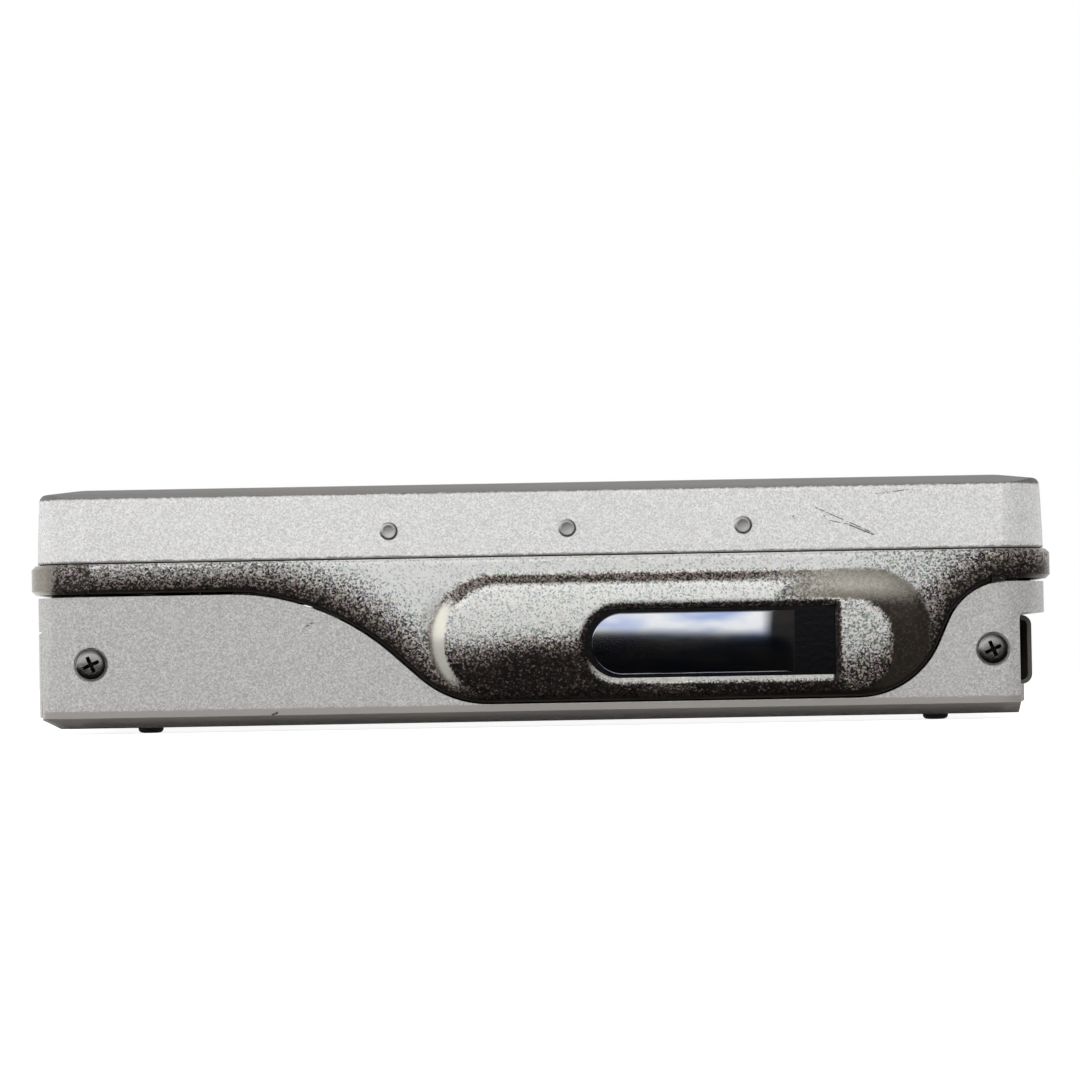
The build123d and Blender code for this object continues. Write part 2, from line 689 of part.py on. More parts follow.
    # Hooked rails that guide the latch plate
    rail_depth = latch_plate_gap + latch_sheet + 0.25
    plate_low = window_bottom - 0.4
    plate_high = window_top + 0.4
    for rail_positions, level, sign in (
        (lower_rail_x, plate_low - slide_clearance, -1),
        (upper_rail_x, plate_high + slide_clearance, 1),
    ):
        for rail_x in rail_positions:
            with BuildSketch(side_plane(rail_x)):
                with Locations((opening_front + (rail_depth + rail_lip) / 2, level + sign * 0.25)):
                    Rectangle(rail_depth + rail_lip, 0.5)
                with Locations((opening_front + rail_depth + rail_lip / 2, level - sign * 0.1)):
                    Rectangle(rail_lip, 1.2)
            extrude(amount=rail_length / 2, both=True)
    # Post that the latch spring pushes against
    with BuildSketch(front_plane(opening_front)):
        with Locations((spring_post_x + spring_post_width / 2, knob_middle)):
            Rectangle(spring_post_width, spring_tab_height)
    extrude(amount=-spring_tab_depth)
mid_frame.part.label = "mid_frame"
export_step(mid_frame.part, "parts/mid_frame.step")

with BuildPart() as hinge_pins:
    for side in (-1, 1):
        with BuildSketch(side_plane(side * (inner_lug_start + hinge_end) / 2)):
            with Locations((hinge_y, hinge_z)):
                Circle(hinge_pin_radius)
        extrude(amount=(hinge_end - inner_lug_start) / 2, both=True)
hinge_pins.part.label = "hinge_pins"
export_step(hinge_pins.part, "parts/hinge_pins.step")

# ================================================================ LATCH
knob_top = window_top - knob_border
knob_bottom = window_bottom + knob_border
knob_face = -front_reach + knob_sink
flange_front = -front_reach + fascia_skin + 0.1
knob_right = window_right - latch_travel - 0.1   # foot of the slope, clear of the fascia at full travel
with BuildPart() as slider_knob:
    with BuildSketch(front_plane(flange_front)):
        add(pad_outline(knob_left, knob_right, knob_bottom, knob_top, 0.05))
    extrude(amount=flange_front - knob_face)
    # Crowned from top to bottom
    with BuildSketch(side_plane(knob_left - 1.0)):
        with BuildLine():
            rim = knob_face + knob_crown
            ThreePointArc((rim, knob_bottom), (knob_face, knob_middle), (rim, knob_top))
            Polyline((rim, knob_top), (flange_front, knob_top), (flange_front, knob_bottom), (rim, knob_bottom))
        make_face()
    extrude(amount=knob_right - knob_left + 2.0, mode=Mode.INTERSECT)
    # The right end slopes down to the flange, which slides on behind the fascia
    with BuildSketch(Plane.XY.offset(knob_bottom - 1.0)):
        with BuildLine():
            Polyline(
                (knob_right - knob_ramp, knob_face - 1.0),
                (knob_right - knob_ramp, knob_face),
                (knob_right, flange_front),
                (knob_right, knob_face - 1.0),
                close=True,
            )
        make_face()
    extrude(amount=knob_top - knob_bottom + 2.0, mode=Mode.SUBTRACT)
    # Flange behind the fascia skin, long enough to close the window at full travel
    flange_left = pocket_left + slide_clearance
    flange_right = pocket_right - slide_clearance - latch_travel
    with BuildSketch(front_plane(flange_front)):
        with Locations(((flange_left + flange_right) / 2, (knob_bottom + knob_top) / 2)):
            Rectangle(flange_right - flange_left, window_top - window_bottom + 2 * flange_overlap)
    extrude(amount=-flange_thickness)
    # Two posts that carry the latch plate
    post_x = (window_left + 2.4, window_right - 3.6)
    post_size = 1.8
    stem_size = 1.1
    plate_face = opening_front + latch_plate_gap + 0.1
    post_z = knob_middle
    with BuildSketch(front_plane(plate_face)):
        with Locations([(x, post_z) for x in post_x]):
            Rectangle(post_size, post_size)
    extrude(amount=plate_face - flange_front - flange_thickness / 2)
    with BuildSketch(front_plane(plate_face + latch_sheet)):
        with Locations([(x, post_z) for x in post_x]):
            Rectangle(stem_size, stem_size)
    extrude(amount=latch_sheet + 0.1)
slider_knob.part.label = "slider_knob"
export_step(slider_knob.part, "parts/slider_knob.step")

nose_bottom = catch_bottom + catch_foot_height + nose_gap
arm_width = 2.6
plate_end = window_right
with BuildPart() as latch_plate:
    plate_left = catch_positions[0] + catch_width + catch_foot + 1.2
    plate_right = catch_positions[1] + catch_width + catch_foot + arm_width + 0.6
    with BuildSketch(front_plane(plate_face)) as latch_outline:
        with Locations(((plate_left + plate_right) / 2, (plate_low + plate_high - 1.4) / 2)):
            Rectangle(plate_right - plate_left, plate_high - plate_low - 1.4)
        with Locations(((window_left + 2.0 + plate_end) / 2, (plate_low + plate_high) / 2)):
            Rectangle(plate_end - window_left - 2.0, plate_high - plate_low)
        for left_edge in catch_positions:
            nose_tip = left_edge + catch_width + catch_foot + nose_gap
            with Locations((nose_tip + 1.2 + arm_width / 2, (plate_low + nose_bottom + nose_height) / 2)):
                Rectangle(arm_width, nose_bottom + nose_height - plate_low)
            with Locations((nose_tip + (1.2 + arm_width) / 2, nose_bottom + nose_height / 2)):
                Rectangle(1.2 + arm_width, nose_height)
        with Locations([(x, post_z) for x in post_x]):
            Rectangle(stem_size + 2 * seat_fit, stem_size + 2 * seat_fit, mode=Mode.SUBTRACT)
    extrude(amount=-latch_sheet)
    # Bent tab that the return spring pushes on
    with BuildSketch(side_plane(plate_end)):
        with Locations((opening_front + spring_tab_depth / 2 + latch_plate_gap, knob_middle)):
            Rectangle(spring_tab_depth - latch_plate_gap, spring_tab_height)
    extrude(amount=-latch_sheet)
latch_plate.part.label = "latch_plate"
export_step(latch_plate.part, "parts/latch_plate.step")

# Return spring: a folded strip between the plate's tab and the frame's post
with BuildPart() as latch_spring:
    spring_y = opening_front + latch_plate_gap + spring_tab_depth / 2
    spring_reach = (spring_tab_depth - latch_plate_gap) / 2 - spring_strip
    fold_pitch = (spring_post_x - plate_end - 2 * seat_fit) / spring_folds
    folds = [(plate_end + seat_fit, spring_y - spring_reach)]
    for index in range(spring_folds):
        folds.append((plate_end + seat_fit + (index + 0.5) * fold_pitch, spring_y + spring_reach))
        folds.append((plate_end + seat_fit + (index + 1.0) * fold_pitch, spring_y - spring_reach))
    shifted = [(x, y + spring_strip) for x, y in reversed(folds)]
    with BuildSketch(Plane.XY.offset(knob_middle - spring_height / 2)):
        with BuildLine():
            Polyline(*folds, *shifted, close=True)
        make_face()
    extrude(amount=spring_height)
latch_spring.part.label = "latch_spring"
export_step(latch_spring.part, "parts/latch_spring.step")

# ================================================================ LOWER CASE
bottom_bevel_height = 0.8
bottom_bevel_width = 1.6
ledge_thickness = 0.9
door_front_y = 2.5 - half_depth
door_axis_y = door_front_y + 19.0
door_bottom = floor_top + 0.1
door_top = case_top - 2.7
door_gap = 0.15
door_thickness = case_wall
door_barrel_radius = 0.8
door_pin_radius = 0.35
door_lug_height = 0.5
side_key_z = case_bottom + 5.15
side_key_length = 5.6
side_key_height = 3.0
side_key_proud = 0.3
hold_y = half_depth - 15.0
volume_y = (hold_y - 19.0, hold_y - 11.5)
hold_slot_length = 8.0
hold_knob_length = 4.4
hold_height = 1.8
hold_travel = 3.0
jack_z = case_bottom + 5.15
headphone_width = 6.4
headphone_y = disc_y + rod_spacing / 2 + screw_offset + 6.45     # behind the lead screw
dc_y = (headphone_y + headphone_width / 2 + case_inner_y) / 2 - 0.55
jack_nose_radius = 2.5
dc_nose_radius = 2.3
foot_x = half_width - 8.35
foot_y = half_depth - 6.5
foot_radius = 1.0
board_rib_x = case_inner_x - 5.05
board_rib_y = 10.0
board_rib_width = 1.0
board_rib_length = 40.0

door_axis_x = -half_width + door_barrel_radius
with BuildPart() as lower_case:
    with BuildSketch(Plane.XY.offset(case_bottom)):
        RectangleRounded(
            body_width - 2 * bottom_bevel_width,
            body_depth - 2 * bottom_bevel_width,
            corner_radius - bottom_bevel_width,
        )
    with BuildSketch(Plane.XY.offset(case_bottom + bottom_bevel_height)):
        RectangleRounded(body_width, body_depth, corner_radius)
    loft(ruled=True)
    with BuildSketch(Plane.XY.offset(case_bottom + bottom_bevel_height)):
        RectangleRounded(body_width, body_depth, corner_radius)
    extrude(amount=case_top - case_bottom - bottom_bevel_height)
    # Hollow, with a thicker block left round the recess at the right front
    ledge_top = recess_top + ledge_thickness
    with BuildSketch(Plane.XY.offset(floor_top)):
        RectangleRounded(2 * case_inner_x, 2 * case_inner_y, corner_radius - case_wall)
        with Locations(((recess_x - case_wall + half_width) / 2, (recess_back + case_wall - half_depth) / 2)):
            Rectangle(
                half_width - recess_x + case_wall, recess_back + case_wall + half_depth, mode=Mode.SUBTRACT
            )
    extrude(amount=ledge_top - floor_top, mode=Mode.SUBTRACT)
    with BuildSketch(Plane.XY.offset(ledge_top)):
        RectangleRounded(2 * case_inner_x, 2 * case_inner_y, corner_radius - case_wall)
    extrude(amount=case_top - ledge_top, mode=Mode.SUBTRACT)
    # Recess for the accessory terminal, open to the front, the side and below
    with BuildSketch(front_plane(-half_depth)) as recess_view:
        with Locations(((recess_x + half_width + 1.0) / 2, recess_top / 2)):
            Rectangle(half_width + 1.0 - recess_x, recess_top)
        fillet(recess_view.vertices().group_by(Axis.X)[0].group_by(Axis.Y)[-1], 0.5)
    extrude(amount=-(recess_back + half_depth), mode=Mode.SUBTRACT)
    # Cut-out for the apron
    with BuildSketch(front_plane(-half_depth)):
        add(make_face(apron_outline(apron_gap).edges()))
    extrude(amount=-2 * case_wall, mode=Mode.SUBTRACT)
    # Battery door opening
    door_span = door_axis_y + door_barrel_radius - door_front_y
    with BuildSketch(side_plane(-half_width)):
        with Locations((door_front_y + door_span / 2, (door_bottom + door_top) / 2)):
            Rectangle(door_span + 2 * door_gap, door_top - door_bottom + 2 * door_gap)
    extrude(amount=2 * case_wall, both=True, mode=Mode.SUBTRACT)
    # Lugs that hold the battery door's pin
    for lug_bottom, lug_top in ((floor_top, door_bottom + door_lug_height), (door_top + door_gap, door_top + 1.4)):
        with BuildSketch(Plane.XY.offset(lug_bottom)):
            with Locations((door_axis_x, door_axis_y)):
                Circle(door_barrel_radius)
            with Locations((door_axis_x + door_barrel_radius / 2, door_axis_y + 0.6)):
                Rectangle(door_barrel_radius, 2.0)
        extrude(amount=lug_top - lug_bottom)
    with BuildSketch(Plane.XY.offset(floor_top - 0.1)):
        with Locations((door_axis_x, door_axis_y)):
            RegularPolygon(door_pin_radius + seat_fit, 8, major_radius=False)
    extrude(amount=door_top + 1.0 - floor_top + 0.1, mode=Mode.SUBTRACT)
    # Case screw recesses and holes in the front wall
    with BuildSketch(front_plane(-half_depth)):
        with Locations((-screw_x, screw_z_case), (screw_x, screw_z_case)):
            Circle(case_screw_recess)
    extrude(amount=-case_wall / 2, mode=Mode.SUBTRACT)
    with BuildSketch(front_plane(-half_depth)):
        with Locations((-screw_x, screw_z_case), (screw_x, screw_z_case)):
            Rectangle(case_screw_shank + 2 * running_fit, case_screw_shank + 2 * running_fit)
    extrude(amount=-2 * case_wall, mode=Mode.SUBTRACT)
    # Volume keys and hold slide in the left wall
    with BuildSketch(side_plane(-half_width)):
        with Locations([(y, side_key_z) for y in volume_y]):
            Rectangle(side_key_length, side_key_height)
        with Locations((hold_y + (hold_slot_length - hold_knob_length) / 2, side_key_z)):
            Rectangle(hold_slot_length, hold_height)
    extrude(amount=2 * case_wall, mode=Mode.SUBTRACT)
    # Jack holes in the right wall
    with BuildSketch(side_plane(half_width)):
        with Locations((headphone_y, jack_z)):
            Circle(jack_nose_radius + running_fit)
        with Locations((dc_y, jack_z)):
            Circle(dc_nose_radius + running_fit)
    extrude(amount=-2 * case_wall, mode=Mode.SUBTRACT)
    # Ribs that carry the board, and the walls of the battery bay
    with BuildSketch(Plane.XY.offset(floor_top)):
        with Locations([(side * board_rib_x, board_rib_y) for side in (-1, 1)]):
            Rectangle(board_rib_width, board_rib_length)
    extrude(amount=board_standoff)
    with BuildSketch(Plane.XY.offset(floor_top)):
        with Locations(((battery_left + battery_right) / 2, battery_back + bay_gap + bay_wall / 2)):
            Rectangle(battery_length, bay_wall)
        with Locations((battery_right + contact_room + bay_wall / 2, (battery_front + battery_back) / 2)):
            Rectangle(bay_wall, battery_width)
    extrude(amount=bay_wall_height)
lower_case.part.label = "lower_case"
export_step(lower_case.part, "parts/lower_case.step")

with BuildPart() as rubber_feet:
    with BuildSketch():
        with Locations([(x, y) for x in (-foot_x, foot_x) for y in (-foot_y, foot_y)]):
            RegularPolygon(foot_radius, 12)
    extrude(amount=foot_height)
rubber_feet.part.label = "rubber_feet"
export_step(rubber_feet.part, "parts/rubber_feet.step")

with BuildPart() as case_screws:
    screw_seat_y = -half_depth + case_wall / 2
    with BuildSketch(front_plane(screw_seat_y)):
        with Locations((-screw_x, screw_z_case), (screw_x, screw_z_case)):
            Rectangle(case_screw_shank, case_screw_shank)
    extrude(amount=-case_screw_length)
    with BuildSketch(front_plane(screw_seat_y)):
        with Locations((-screw_x, screw_z_case), (screw_x, screw_z_case)):
            Circle(case_screw_head_radius)
    extrude(amount=case_screw_head)
case_screws.part.label = "case_screws"
export_step(case_screws.part, "parts/case_screws.step")

# ================================================================ ACCESSORY TERMINAL
terminal_front = recess_back - 9.0
terminal_back = recess_back
terminal_bottom = case_bottom + 2.15
terminal_top = recess_top - 0.1
terminal_reach = 1.95      # how far the shell stands out from the recess wall
terminal_sheet = 0.35
shell_start = 0.4          # where the shell's sides begin, clear of the recess corner
contact_count = 4
contact_thickness = 0.25
tongue_thickness = 0.35
terminal_x = recess_x + 0.05
terminal_middle = (terminal_bottom + terminal_top) / 2
terminal_height = terminal_top - terminal_bottom

with BuildPart() as terminal_shell:
    with BuildSketch(front_plane(terminal_front)) as shell_view:
        with Locations((terminal_x + (terminal_reach + shell_start) / 2, terminal_middle)):
            Rectangle(terminal_reach - shell_start, terminal_height)
        fillet(shell_view.vertices().group_by(Axis.X)[-1], 0.8)
        with BuildSketch(front_plane(terminal_front), mode=Mode.PRIVATE) as shell_hollow:
            with Locations((terminal_x + terminal_reach / 2 - terminal_sheet, terminal_middle)):
                Rectangle(terminal_reach, terminal_height - 2 * terminal_sheet)
            fillet(shell_hollow.vertices().group_by(Axis.X)[-1], 0.8 - terminal_sheet)
        add(shell_hollow.sketch_local, mode=Mode.SUBTRACT)
    extrude(amount=-(terminal_back - terminal_front))
terminal_shell.part.label = "terminal_shell"
export_step(terminal_shell.part, "parts/terminal_shell.step")

with BuildPart() as terminal_contacts:
    contact_pitch = (terminal_height - 2 * terminal_sheet) / contact_count
    with BuildSketch(front_plane(terminal_front + 0.4)):
        with Locations((terminal_x + contact_thickness / 2, terminal_middle)):
            with GridLocations(1.0, contact_pitch, 1, contact_count):
                Rectangle(contact_thickness, 0.7 * contact_pitch)
    extrude(amount=-(terminal_back - terminal_front - 0.8))
terminal_contacts.part.label = "terminal_contacts"
export_step(terminal_contacts.part, "parts/terminal_contacts.step")

with BuildPart() as terminal_tongue:
    with BuildSketch(front_plane(terminal_front + 0.2)):
        with Locations((terminal_x + contact_thickness + tongue_thickness / 2, terminal_middle)):
            Rectangle(tongue_thickness, terminal_height - 2 * terminal_sheet - 0.3)
    extrude(amount=-(terminal_back - terminal_front - 0.4))
    # Root that holds the tongue and the contacts at the back of the shell
    with BuildSketch(front_plane(terminal_back)):
        with Locations((terminal_x + (terminal_reach - terminal_sheet) / 2 + 0.02, terminal_middle)):
            Rectangle(terminal_reach - terminal_sheet - 0.1, terminal_height - 2 * terminal_sheet - 0.3)
    extrude(amount=0.4)
terminal_tongue.part.label = "terminal_tongue"
export_step(terminal_tongue.part, "parts/terminal_tongue.step")

# ================================================================ MAIN BOARD AND JACKS
board_front = battery_back + bay_gap + bay_wall + 0.4
board_back = case_inner_y - 0.8
board_x = case_inner_x - 0.8
with BuildPart() as main_board:
    with BuildSketch(Plane.XY.offset(board_bottom)):
        with Locations((0, (board_front + board_back) / 2)):
            Rectangle(2 * board_x, board_back - board_front)
    extrude(amount=board_thickness)
    chamfer(main_board.edges().filter_by(Axis.Z).group_by(Axis.Y)[-1], 1.5)
main_board.part.label = "main_board"
export_step(main_board.part, "parts/main_board.step")

chips = (
    # x, y, length, depth, height
    (-24.0, -5.0, 10.0, 10.0, 1.2),
    (-24.0, 10.0, 12.0, 8.0, 1.0),
    (-25.0, 22.0, 7.0, 7.0, 1.1),
    (-12.0, 27.0, 8.0, 5.0, 1.4),
    (4.0, 27.0, 7.0, 7.0, 1.1),
    (15.0, 28.0, 5.0, 4.0, 1.8),
)
with BuildPart() as board_chips:
    for x, y, length, depth, height in chips:
        with BuildSketch(Plane.XY.offset(board_top)):
            with Locations((x, y)):
                Rectangle(length, depth)
        extrude(amount=height)
board_chips.part.label = "board_chips"
export_step(board_chips.part, "parts/board_chips.step")

headphone_bore = 1.8
headphone_depth = 14.0
headphone_length = 15.0
jack_top = jack_z + 2.15
with BuildPart() as headphone_jack:
    with BuildSketch(side_plane(case_inner_x - 0.1)):
        with Locations((headphone_y, (board_top + jack_top) / 2)):
            Rectangle(headphone_width, jack_top - board_top)
    extrude(amount=-(headphone_length - case_wall - 0.1))
    with BuildSketch(side_plane(half_width)):
        with Locations((headphone_y, jack_z)):
            Circle(jack_nose_radius)
    extrude(amount=-case_wall - 0.5)
    with BuildSketch(side_plane(half_width)):
        with Locations((headphone_y, jack_z)):
            Circle(headphone_bore)
    extrude(amount=-headphone_depth, mode=Mode.SUBTRACT)
headphone_jack.part.label = "headphone_jack"
export_step(headphone_jack.part, "parts/headphone_jack.step")

dc_bore = 1.65
dc_depth = 8.5
dc_length = 10.0
dc_width = 6.0
dc_pin_radius = 0.5
with BuildPart() as dc_jack:
    with BuildSketch(side_plane(case_inner_x - 0.1)):
        with Locations((dc_y, (board_top + jack_top) / 2)):
            Rectangle(dc_width, jack_top - board_top)
    extrude(amount=-(dc_length - case_wall - 0.1))
    with BuildSketch(side_plane(half_width)):
        with Locations((dc_y, jack_z)):
            Circle(dc_nose_radius)
    extrude(amount=-case_wall - 0.5)
    with BuildSketch(side_plane(half_width)):
        with Locations((dc_y, jack_z)):
            Circle(dc_bore)
    extrude(amount=-dc_depth, mode=Mode.SUBTRACT)
dc_jack.part.label = "dc_jack"
export_step(dc_jack.part, "parts/dc_jack.step")

with BuildPart() as dc_pin:
    with BuildSketch(side_plane(half_width - dc_depth)):
        with Locations((dc_y, jack_z)):
            Circle(dc_pin_radius)
    extrude(amount=dc_depth - 1.2)
dc_pin.part.label = "dc_pin"
export_step(dc_pin.part, "parts/dc_pin.step")

# ================================================================ SIDE KEYS
switch_board_thickness = 0.5
switch_board_top = side_key_z + 2.8
switch_board_x = -case_inner_x + 1.3
with BuildPart() as side_switch_board:
    with BuildSketch(side_plane(switch_board_x)):
        with Locations(((volume_y[0] - 4.0 + hold_y + 9.0) / 2, (board_top + switch_board_top) / 2)):
            Rectangle(hold_y + 13.0 - volume_y[0], switch_board_top - board_top)
    extrude(amount=switch_board_thickness)
side_switch_board.part.label = "side_switch_board"
export_step(side_switch_board.part, "parts/side_switch_board.step")

side_flange = 0.3
side_flange_x = -case_inner_x + 0.05
for key_name, y in zip(("volume_up_key", "volume_down_key"), volume_y):
    with BuildPart() as volume_key:
        with BuildSketch(side_plane(side_flange_x)):
            with Locations((y, side_key_z)):
                Rectangle(side_key_length - 2 * key_gap, side_key_height - 2 * key_gap)
        extrude(amount=-(half_width + side_key_proud + side_flange_x))
        chamfer(volume_key.faces().sort_by(Axis.X)[0].edges(), 0.25)
        with BuildSketch(side_plane(side_flange_x)):
            with Locations((y, side_key_z)):
                Rectangle(side_key_length + 0.8, side_key_height + 0.8)
        extrude(amount=side_flange)
    volume_key.part.label = key_name
    export_step(volume_key.part, f"parts/{key_name}.step")

with BuildPart() as hold_knob:
    with BuildSketch(side_plane(side_flange_x)):
        with Locations((hold_y, side_key_z)):
            Rectangle(hold_knob_length - 2 * key_gap, hold_height - 2 * key_gap)
    extrude(amount=-(half_width + side_key_proud + side_flange_x))
    # Grip grooves across the knob
    with BuildSketch(side_plane(-half_width - side_key_proud)):
        with Locations((hold_y, side_key_z)):
            with GridLocations(0.7, 1.0, 3, 1):
                Rectangle(0.25, hold_height)
    extrude(amount=0.15, mode=Mode.SUBTRACT)
    with BuildSketch(side_plane(side_flange_x)):
        with Locations((hold_y, side_key_z)):
            Rectangle(hold_knob_length + 1.2, hold_height + 1.2)
    extrude(amount=side_flange)
hold_knob.part.label = "hold_knob"
export_step(hold_knob.part, "parts/hold_knob.step")

# ================================================================ BATTERY AND DOOR
battery_bottom = floor_top + 0.2
contact_sheet = 0.25
with BuildPart() as battery_cell:
    with BuildSketch(side_plane(battery_left)):
        with Locations(((battery_front + battery_back) / 2, battery_bottom + battery_height / 2)):
            RectangleRounded(battery_width, battery_height, 1.4)
    extrude(amount=battery_length - 0.6)
    with BuildSketch(side_plane(battery_right - 0.6)):
        with Locations(((battery_front + battery_back) / 2, battery_bottom + battery_height / 2)):
            Rectangle(6.0, 3.0)
    extrude(amount=0.6)
battery_cell.part.label = "battery_cell"
export_step(battery_cell.part, "parts/battery_cell.step")

# Sprung leaf at the inner end of the bay: a foot on the wall and a bowed front
with BuildPart() as battery_contact:
    contact_y = (battery_front + battery_back) / 2
    contact_back_x = battery_right + contact_room
    with BuildSketch(Plane.XY.offset(floor_top)):
        with BuildLine():
            Polyline(
                (contact_back_x, contact_y - 4.0),
                (contact_back_x, contact_y + 4.0),
                (contact_back_x - contact_sheet, contact_y + 4.0),
                (battery_right + 0.02, contact_y + 0.9),
                (battery_right + 0.02, contact_y - 0.9),
                (contact_back_x - contact_sheet, contact_y - 4.0),
                close=True,
            )
        make_face()
        with BuildLine():
            Polyline(
                (contact_back_x - contact_sheet, contact_y - 3.0),
                (contact_back_x - contact_sheet, contact_y + 3.0),
                (battery_right + 0.02 + contact_sheet, contact_y + 0.6),
                (battery_right + 0.02 + contact_sheet, contact_y - 0.6),
                close=True,
            )
        make_face(mode=Mode.SUBTRACT)
    extrude(amount=5.0)
battery_contact.part.label = "battery_contact"
export_step(battery_contact.part, "parts/battery_contact.step")

with BuildPart() as battery_door:
    with BuildSketch(side_plane(-half_width)):
        with Locations(((door_front_y + door_axis_y) / 2, (door_bottom + door_top) / 2)):
            Rectangle(door_axis_y - door_front_y, door_top - door_bottom)
    extrude(amount=door_thickness)
    # The opening end follows the case's rounded corner
    with BuildSketch(Plane.XY.offset(door_bottom)):
        RectangleRounded(body_width, body_depth, corner_radius)
    extrude(amount=door_top - door_bottom, mode=Mode.INTERSECT)
    # Notch for the lower lug, then the barrel above it
    with BuildSketch(Plane.XY.offset(door_bottom)):
        with Locations((door_axis_x, door_axis_y)):
            Rectangle(4 * door_barrel_radius, 2 * door_barrel_radius + 2 * door_gap)
    extrude(amount=door_lug_height + door_gap, mode=Mode.SUBTRACT)
    with BuildSketch(Plane.XY.offset(door_bottom + door_lug_height + door_gap)):
        with Locations((door_axis_x, door_axis_y)):
            Circle(door_barrel_radius)
    extrude(amount=door_top - door_bottom - door_lug_height - door_gap)
    with BuildSketch(Plane.XY.offset(door_bottom)):
        with Locations((door_axis_x, door_axis_y)):
            Circle(door_pin_radius + running_fit)
    extrude(amount=door_top - door_bottom, mode=Mode.SUBTRACT)
    # Thumb groove at the opening end
    with BuildSketch(Plane.XY.offset((door_bottom + door_top) / 2 - 1.6)):
        with Locations((-half_width - 0.9, door_front_y + 3.0)):
            Circle(1.3)
    extrude(amount=3.2, mode=Mode.SUBTRACT)
    # Catch lip behind the opening end
    with BuildSketch(Plane.XY.offset(door_bottom + 1.6)):
        with Locations((-half_width + door_thickness + 0.3, door_front_y + 1.2)):
            Rectangle(0.6, 1.2)
    extrude(amount=3.2)
battery_door.part.label = "battery_door"
export_step(battery_door.part, "parts/battery_door.step")

with BuildPart() as door_pin:
    with BuildSketch(Plane.XY.offset(floor_top)):
        with Locations((door_axis_x, door_axis_y)):
            Circle(door_pin_radius)
    extrude(amount=door_top + 0.8 - floor_top)
door_pin.part.label = "door_pin"
export_step(door_pin.part, "parts/door_pin.step")

with BuildPart() as door_contact:
    door_inner_x = -half_width + door_thickness
    with BuildSketch(side_plane(door_inner_x)):
        with Locations(((battery_front + battery_back) / 2, battery_bottom + battery_height / 2)):
            Rectangle(9.0, 4.0)
    extrude(amount=contact_sheet)
    with BuildSketch(side_plane(door_inner_x)):
        with Locations(((battery_front + battery_back) / 2, battery_bottom + battery_height / 2)):
            Rectangle(2.6, 2.6)
    extrude(amount=battery_left - door_inner_x - 0.4, taper=14.0)
door_contact.part.label = "door_contact"
export_step(door_contact.part, "parts/door_contact.step")

# ================================================================ DECK
deck_y = damper_y + damper_size / 2 + 0.8
slot_left = lens_x - 4.7
slot_right = lens_x + sled_travel + 4.7
shaft_hole = 2.0           # deck opening round the spindle
with BuildPart() as deck_plate:
    with BuildSketch(Plane.XY.offset(deck_bottom)):
        Rectangle(2 * deck_x, 2 * deck_y)
        with Locations((0, disc_y)):
            RegularPolygon(shaft_hole, 8, mode=Mode.SUBTRACT)
        with Locations(((slot_left + slot_right) / 2, disc_y)):
            Rectangle(slot_right - slot_left, 15.2, mode=Mode.SUBTRACT)
        # Corner cleared for the recess block
        with Locations((deck_x, -deck_y)):
            Rectangle(
                2 * (deck_x - recess_x + case_wall + 0.4),
                2 * (recess_back + case_wall + deck_y + 0.5),
                mode=Mode.SUBTRACT,
            )
        # Lightening windows
        with Locations((13.25 - deck_x, disc_y)):
            Rectangle(16.0, deck_y - 2.4, mode=Mode.SUBTRACT)
        with Locations((-4.0, deck_y - 7.9), (-4.0, 9.4 - deck_y)):
            Rectangle(26.0, 6.0, mode=Mode.SUBTRACT)
    extrude(amount=deck_thickness)
    # Rest posts under the cartridge
    with BuildSketch(Plane.XY.offset(deck_top)):
        rest_x = deck_x - 8.25
        rest_y = deck_y - 8.4
        with Locations([(x, disc_y + y) for x in (-rest_x, rest_x) for y in (-rest_y, rest_y)]):
            Rectangle(2.0, 2.0)
    extrude(amount=holder_floor + holder_lift - deck_top - 0.1)
    # Posts that carry the ends of the guide rods
    rod_y = [disc_y + sign * rod_spacing / 2 for sign in (-1, 1)]
    rod_start = 7.6
    rod_end = deck_x
    post_length = 1.7
    end_post_length = 0.95
    rod_seat = 1.6
    for y in rod_y:
        for x, length in ((rod_start, post_length), (rod_end - end_post_length, end_post_length)):
            with BuildSketch(side_plane(x)):
                with Locations((y, (deck_bottom + rod_z - rod_seat) / 2)):
                    Rectangle(3.0, deck_bottom - rod_z + rod_seat)
                with Locations((y, (2 * rod_z - rod_seat + rod_radius) / 2)):
                    Rectangle(2 * rod_radius + 2 * seat_fit, rod_seat + rod_radius, mode=Mode.SUBTRACT)
            extrude(amount=length)
deck_plate.part.label = "deck_plate"
export_step(deck_plate.part, "parts/deck_plate.step")

with BuildPart() as guide_rods:
    with BuildSketch(side_plane(rod_start)):
        with Locations([(y, rod_z) for y in rod_y]):
            Circle(rod_radius)
    extrude(amount=rod_end - rod_start)
guide_rods.part.label = "guide_rods"
export_step(guide_rods.part, "parts/guide_rods.step")

with BuildPart() as deck_dampers:
    with BuildSketch(Plane.XY.offset(deck_top)):
        with Locations((-damper_x, -damper_y), (-damper_x, damper_y), (damper_x, damper_y)):
            Rectangle(damper_size, damper_size)
        with Locations((damper_x - 2.0, -damper_y)):
            Rectangle(damper_size, damper_size)
    extrude(amount=shelf_bottom - deck_top)
deck_dampers.part.label = "deck_dampers"
export_step(deck_dampers.part, "parts/deck_dampers.step")

